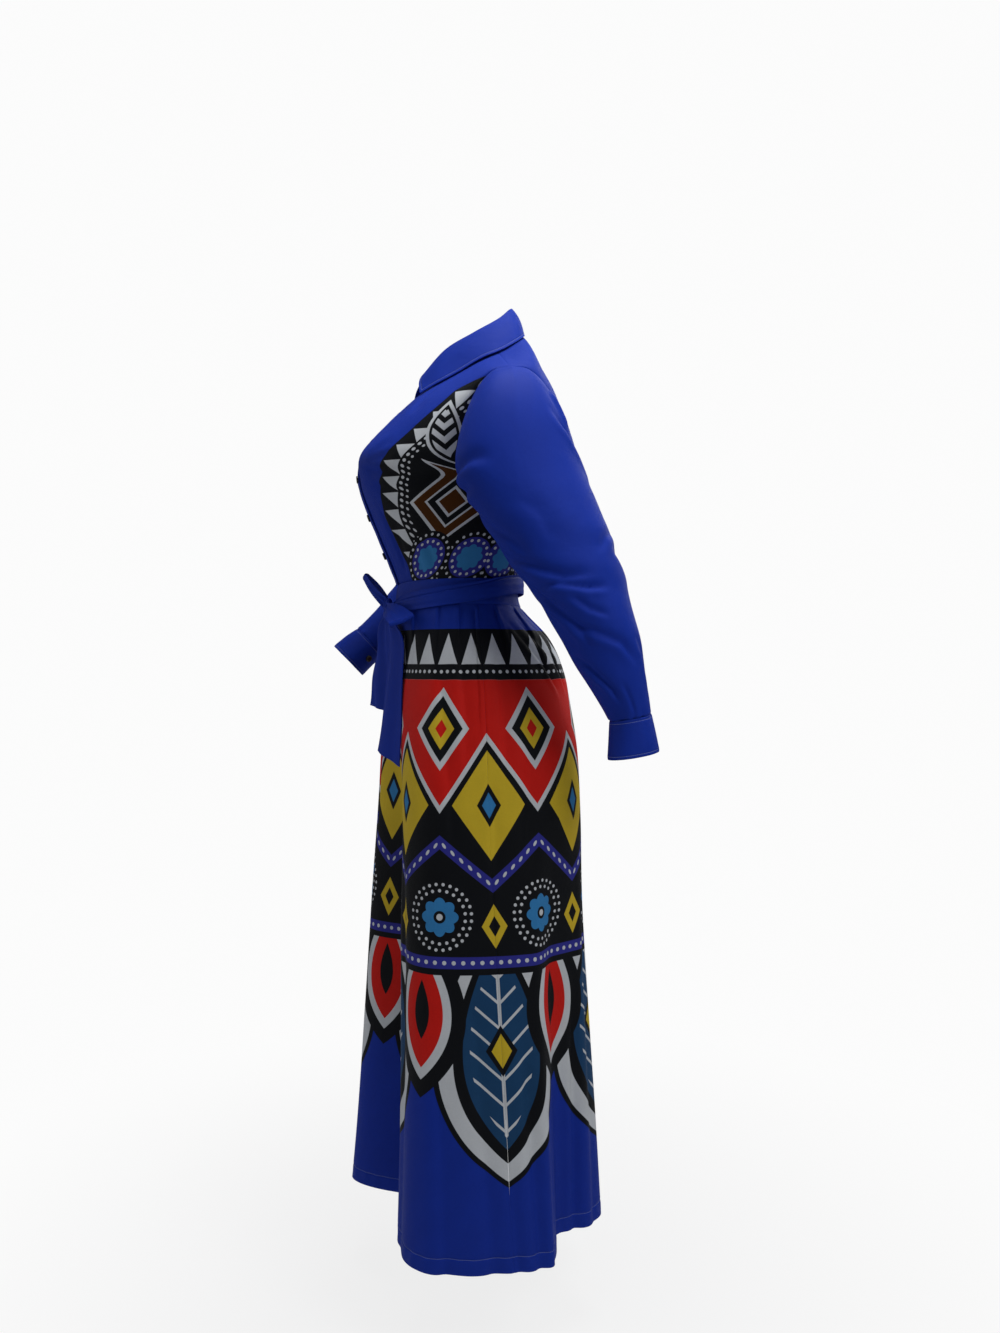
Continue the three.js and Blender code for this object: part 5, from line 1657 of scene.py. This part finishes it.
class DRESS_OT_back(PieceOperator, bpy.types.Operator):
    """The printed back, in one piece from armhole to armhole"""

    bl_idname = "dress.back"
    bl_label = "Back"

    def build(self, sizes):
        points = crease_bodice(back_grid(rows=140, columns=180), BACK_CREASES, 1, sizes.creases)
        middle = body_middle(points)
        points = dip_seams(points, middle, ("top", "bottom", "left", "right"))
        places = back_print_places(points)
        piece = cloth_piece("back_bodice", points, middle, "bodice", "reverse", sizes.cloth, places=places)


class DRESS_OT_button_bands(PieceOperator, bpy.types.Operator):
    """The two button bands, the right one over the left"""

    bl_idname = "dress.button_bands"
    bl_label = "Button bands"

    def build(self, sizes):
        for name, start, side, lift in (
            ("front_band_left", UNDER_BAND_START, 1, 0.0),
            ("front_band_right", OVER_BAND_START, -1, BAND_LIFT),
        ):
            points = band_grid(start, BAND_HALF, side, lift, rows=200, columns=22)
            middle = body_middle(points)
            edge = edge_uv(points, ("left", "right"))
            piece = cloth_piece(name, points, middle, "stitched", "reverse", sizes.cloth, edge=edge)


class DRESS_OT_collar(PieceOperator, bpy.types.Operator):
    """The collar's leaf and its stand"""

    bl_idname = "dress.collar"
    bl_label = "Collar"

    def build(self, sizes):
        for name, points, edges in (
            ("collar", collar_leaf_grid(rows=40, columns=110), ("bottom", "left", "right")),
            ("collar_stand", collar_stand_grid(rows=18, columns=110), ("top",)),
        ):
            middle = neck_middle(points)
            edge = edge_uv(points, edges)
            cloth_piece(name, points, middle, "stitched", "stitched", sizes.cloth, edge=edge)


class DRESS_OT_sleeves(PieceOperator, bpy.types.Operator):
    """Both sleeves: the left one hangs and the right one is bent forwards"""

    bl_idname = "dress.sleeves"
    bl_label = "Sleeves"

    def build(self, sizes):
        for name, table, side, creases in (
            ("sleeve_left", HANGING_SLEEVE, 1, HANGING_CREASES),
            ("sleeve_right", BENT_SLEEVE, -1, BENT_CREASES),
        ):
            points, middle = sleeve_grid(table, side, creases, sizes.creases, rows=180, columns=142)
            piece = cloth_piece(name, points, middle, "blue", "reverse", sizes.cloth, ring=True)


class DRESS_OT_cuffs(PieceOperator, bpy.types.Operator):
    """The buttoned cuffs"""

    bl_idname = "dress.cuffs"
    bl_label = "Cuffs"

    def build(self, sizes):
        for name, above, table, side in (
            ("cuff_left", HANGING_SLEEVE, HANGING_CUFF, 1),
            ("cuff_right", BENT_SLEEVE, BENT_CUFF, -1),
        ):
            points, middle = cuff_grid(cuff_rows(above, table), side, rows=40, columns=120)
            edge = edge_uv(points, ("top", "bottom"), ring=True)
            both = ("stitched", "stitched")
            piece = cloth_piece(name, points, middle, *both, sizes.cuff_cloth, ring=True, edge=edge)


class DRESS_OT_skirt(PieceOperator, bpy.types.Operator):
    """The printed skirt's front and back, with their long folds"""

    bl_idname = "dress.skirt"
    bl_label = "Skirt"

    def build(self, sizes):
        for name, middle_angle in (("skirt_front", 0.0), ("skirt_back", math.pi)):
            points, middle, places = skirt_grid(middle_angle, sizes.creases, rows=146, columns=240)
            piece = cloth_piece(name, points, middle, "skirt", "reverse", sizes.cloth, places=places)


class DRESS_OT_waist(PieceOperator, bpy.types.Operator):
    """The waistband and the belt over it"""

    bl_idname = "dress.waist"
    bl_label = "Waistband and belt"

    def build(self, sizes):
        points, middle = waist_grid(rows=16, columns=220)
        piece = cloth_piece("waistband", points, middle, "blue", "reverse", sizes.cloth, ring=True)
        points, middle = belt_grid(rows=30, columns=270)
        piece = cloth_piece("belt", points, middle, "blue", "blue", sizes.cloth, ring=True)


class DRESS_OT_bow(PieceOperator, bpy.types.Operator):
    """The belt's knot, two loops and two tails"""

    bl_idname = "dress.bow"
    bl_label = "Bow"

    def build(self, sizes):
        points = knot_grid(rows=30, columns=60)
        middle = np.broadcast_to(np.array(KNOT_PLACE), points.shape)
        piece = cloth_piece("belt_knot", points, middle, "blue", "blue", sizes.bow_cloth, ring=True)
        for name, loop, flat in (
            ("bow_loop_far", FAR_LOOP, (0.015, 0.140)),
            ("bow_loop_near", NEAR_LOOP, (0.026, 0.200)),
        ):
            points = loop_grid(loop, rows=30, columns=56)
            piece = cloth_piece(name, points, ring_middle(points), "blue", "blue", sizes.bow_cloth, ring=True)
        for name, table, seed, flat in (
            ("belt_tail_far", FAR_TAIL, 0.7, (0.040, 0.150)),
            ("belt_tail_near", NEAR_TAIL, 2.1, (0.052, 0.225)),
        ):
            points = tail_grid(table, seed, rows=110, columns=40)
            piece = cloth_piece(name, points, points + FAR_BEHIND, "blue", "blue", sizes.cloth)


class DRESS_OT_buttons(PieceOperator, bpy.types.Operator):
    """The buttons of the front and the cuffs"""

    bl_idname = "dress.buttons"
    bl_label = "Buttons"

    def build(self, sizes):
        model = model_button(sizes)
        seats = []
        for number, z in enumerate(FRONT_BUTTON_Z, 1):
            seats.append((f"front_button_{number}", *front_button_seat(z)))
        for name, above, table, side, degrees in (
            ("cuff_button_left", HANGING_SLEEVE, HANGING_CUFF, 1, -120),
            ("cuff_button_right", BENT_SLEEVE, BENT_CUFF, -1, 216),
        ):
            seats.append((name, *cuff_button_seat(cuff_rows(above, table), side, degrees)))
        for name, seat, direction in seats:
            mesh = model.data.copy()
            turn = Vector((0, 0, 1)).rotation_difference(Vector(direction)).to_matrix().to_4x4()
            lift = (sizes.button_thickness / 2 / MM + 0.3) * direction
            mesh.transform(Matrix.Translation(Vector((seat + lift) * MM)) @ turn)
            piece = bpy.data.objects.new(f"{name}_model", mesh)
            bpy.context.scene.collection.objects.link(piece)
            finish_piece(piece, name)
        bpy.data.objects.remove(model)


def front_button_seat(z):
    level = place_of_height(FRONT, z)
    x = np.array(-gape(z) - 2)
    angle = bodice_angle(FRONT, level, x)
    seat = lifted_bodice_point(FRONT, level, angle, np.array(BAND_LIFT))
    direction = unit(lifted_bodice_point(FRONT, level, angle, np.array(BAND_LIFT + 10)) - seat)
    return seat + 0.2 * direction, direction


def cuff_button_seat(rows_table, side, degrees):
    turn = np.array(math.radians(degrees))
    above, row, below = rows_table[:3]
    seat = section_point(row, turn)
    centre = (section_point(row, np.array(0.0)) + section_point(row, np.array(math.pi))) / 2
    around = section_point(row, turn + 0.1) - section_point(row, turn - 0.1)
    down = section_point(below, turn) - section_point(above, turn)
    direction = unit(np.cross(around, down))
    if direction @ (seat - centre) < 0:
        direction = -direction
    mirror = np.array([side, 1, 1])
    return (seat + 0.3 * direction) * mirror, direction * mirror


def model_button(sizes):
    """One dished button with four holes, lying flat at the origin."""
    bpy.ops.object.select_all(action="DESELECT")
    bpy.ops.mesh.primitive_cylinder_add(
        vertices=40, radius=sizes.button_radius, depth=sizes.button_thickness, location=(0, 0, 0)
    )
    button = bpy.context.object
    button.name = "button_pattern"
    bpy.ops.object.mode_set(mode="EDIT")
    bpy.ops.mesh.select_mode(type="FACE")
    bpy.ops.mesh.select_all(action="DESELECT")
    mesh = bmesh.from_edit_mesh(button.data)
    for face in mesh.faces:
        face.select_set(face.normal.z > 0.9)
    bmesh.update_edit_mesh(button.data)
    bpy.ops.mesh.inset(thickness=sizes.button_radius * 0.24)
    bpy.ops.mesh.inset(thickness=sizes.button_radius * 0.08)
    bpy.ops.transform.translate(value=(0, 0, -sizes.button_thickness * 0.24))
    bpy.ops.object.mode_set(mode="OBJECT")
    bevel = button.modifiers.new("Rounded rim", "BEVEL")
    bevel.width = sizes.button_thickness * 0.2
    bevel.segments = 3
    bevel.limit_method = "ANGLE"
    for number in range(4):
        angle = math.pi / 4 + number * math.pi / 2
        reach = sizes.button_radius * 0.26
        bpy.ops.object.select_all(action="DESELECT")
        bpy.ops.mesh.primitive_cylinder_add(
            vertices=14,
            radius=sizes.button_radius * 0.13,
            depth=sizes.button_thickness * 3,
            location=(reach * math.cos(angle), reach * math.sin(angle), 0),
        )
        drill = bpy.context.object
        hole = button.modifiers.new(f"Hole {number + 1}", "BOOLEAN")
        hole.operation = "DIFFERENCE"
        hole.object = drill
        apply_modifiers(button)
        bpy.data.objects.remove(drill)
    button.data.materials.clear()
    button.data.materials.append(CLOTHS["button"])
    button.data.shade_smooth()
    button.data.set_sharp_from_angle(angle=BUTTON_SHARP_ANGLE)
    return button


class DRESS_OT_stage(PieceOperator, bpy.types.Operator):
    """The camera, a pale floor, a pale surround and soft light"""

    bl_idname = "dress.stage"
    bl_label = "Stage"

    def build(self, sizes):
        scene = bpy.context.scene
        scene.view_settings.view_transform = "Standard"
        camera_data = bpy.data.cameras.new("camera")
        camera_data.sensor_width = CAMERA_SENSOR
        camera_data.lens = CAMERA_LENS
        camera = bpy.data.objects.new("camera", camera_data)
        scene.collection.objects.link(camera)
        camera.location = CAMERA_PLACE
        camera.rotation_euler = Vector(CAMERA_WAY).to_track_quat("-Z", "Y").to_euler()
        scene.camera = camera
        bpy.ops.object.select_all(action="DESELECT")
        bpy.ops.mesh.primitive_circle_add(vertices=96, radius=30, fill_type="NGON", location=(0, 0, 0))
        floor = bpy.context.object
        floor.name = "floor"
        floor.data.transform(Matrix.Translation((0, 0, sizes.floor_z)))
        floor.data.materials.append(floor_material((*scene.dress_colours.floor, 1.0)))
        scene.world = surround()
        for name, place, size, power, aim in LIGHTS:
            data = bpy.data.lights.new(name, "AREA")
            data.shape = "DISK"
            data.size = size
            data.energy = power
            light = bpy.data.objects.new(name, data)
            light.location = place
            light.visible_camera = False
            light.rotation_euler = (Vector(aim) - Vector(place)).to_track_quat("-Z", "Y").to_euler()
            scene.collection.objects.link(light)


def floor_material(colour):
    """A pale matt floor that fades into the white surround further out."""
    material, g, shader, output = new_material("floor_pale")
    shader.inputs["Base Color"].default_value = colour
    shader.inputs["Roughness"].default_value = 0.9
    flat = g.node("ShaderNodeVectorMath", operation="MULTIPLY")
    away = g.node("ShaderNodeVectorMath", operation="LENGTH")
    g.fill(away, g.fill(flat, g.node("ShaderNodeTexCoord").outputs["Object"], (1, 1, 0)))
    fade = g.ranged(away.outputs["Value"], 0.15, 1.2, 0.84, 1.0)
    seen = g.node("ShaderNodeLightPath").outputs["Is Camera Ray"]
    glow = g.node("ShaderNodeEmission")
    glow.inputs["Color"].default_value = SURROUND_WHITE
    mixed = g.fill(g.node("ShaderNodeMixShader"), g.mul(fade, seen), shader.outputs[0], glow.outputs[0])
    g.put(output.inputs["Surface"], mixed)
    return material


def surround():
    """A world that looks white and lights the dress softly."""
    world = bpy.data.worlds.new("surround")
    world.use_nodes = True
    g = Graph(world.node_tree)
    seen = g.node("ShaderNodeLightPath").outputs["Is Camera Ray"]
    colour = g.over(SURROUND_LIGHT, SURROUND_WHITE, seen)
    g.put(world.node_tree.nodes["Background"].inputs["Color"], colour)
    return world


OPERATORS = (
    DRESS_OT_stage,
    DRESS_OT_fronts,
    DRESS_OT_back,
    DRESS_OT_button_bands,
    DRESS_OT_collar,
    DRESS_OT_sleeves,
    DRESS_OT_cuffs,
    DRESS_OT_skirt,
    DRESS_OT_waist,
    DRESS_OT_bow,
    DRESS_OT_buttons,
)


class DRESS_PT_panel(bpy.types.Panel):
    """The steps that build the dress"""

    bl_idname = "DRESS_PT_panel"
    bl_label = "Maxi dress"
    bl_space_type = "VIEW_3D"
    bl_region_type = "UI"
    bl_category = "Dress"

    def draw(self, context):
        for group in (context.scene.dress_sizes, context.scene.dress_colours):
            for name in group.__annotations__:
                self.layout.prop(group, name)
        for operator in OPERATORS:
            self.layout.operator(operator.bl_idname)


CLASSES = (DressSizes, DressColours, *OPERATORS, DRESS_PT_panel)


def register():
    for made in CLASSES:
        bpy.utils.register_class(made)
    bpy.types.Scene.dress_sizes = bpy.props.PointerProperty(type=DressSizes)
    bpy.types.Scene.dress_colours = bpy.props.PointerProperty(type=DressColours)


def unregister():
    del bpy.types.Scene.dress_colours
    del bpy.types.Scene.dress_sizes
    for made in reversed(CLASSES):
        bpy.utils.unregister_class(made)


def main():
    register()
    bpy.ops.dress.stage()
    bpy.ops.dress.fronts()
    bpy.ops.dress.back()
    bpy.ops.dress.button_bands()
    bpy.ops.dress.collar()
    bpy.ops.dress.sleeves()
    bpy.ops.dress.cuffs()
    bpy.ops.dress.skirt()
    bpy.ops.dress.waist()
    bpy.ops.dress.bow()
    bpy.ops.dress.buttons()


if __name__ == "__main__":
    main()
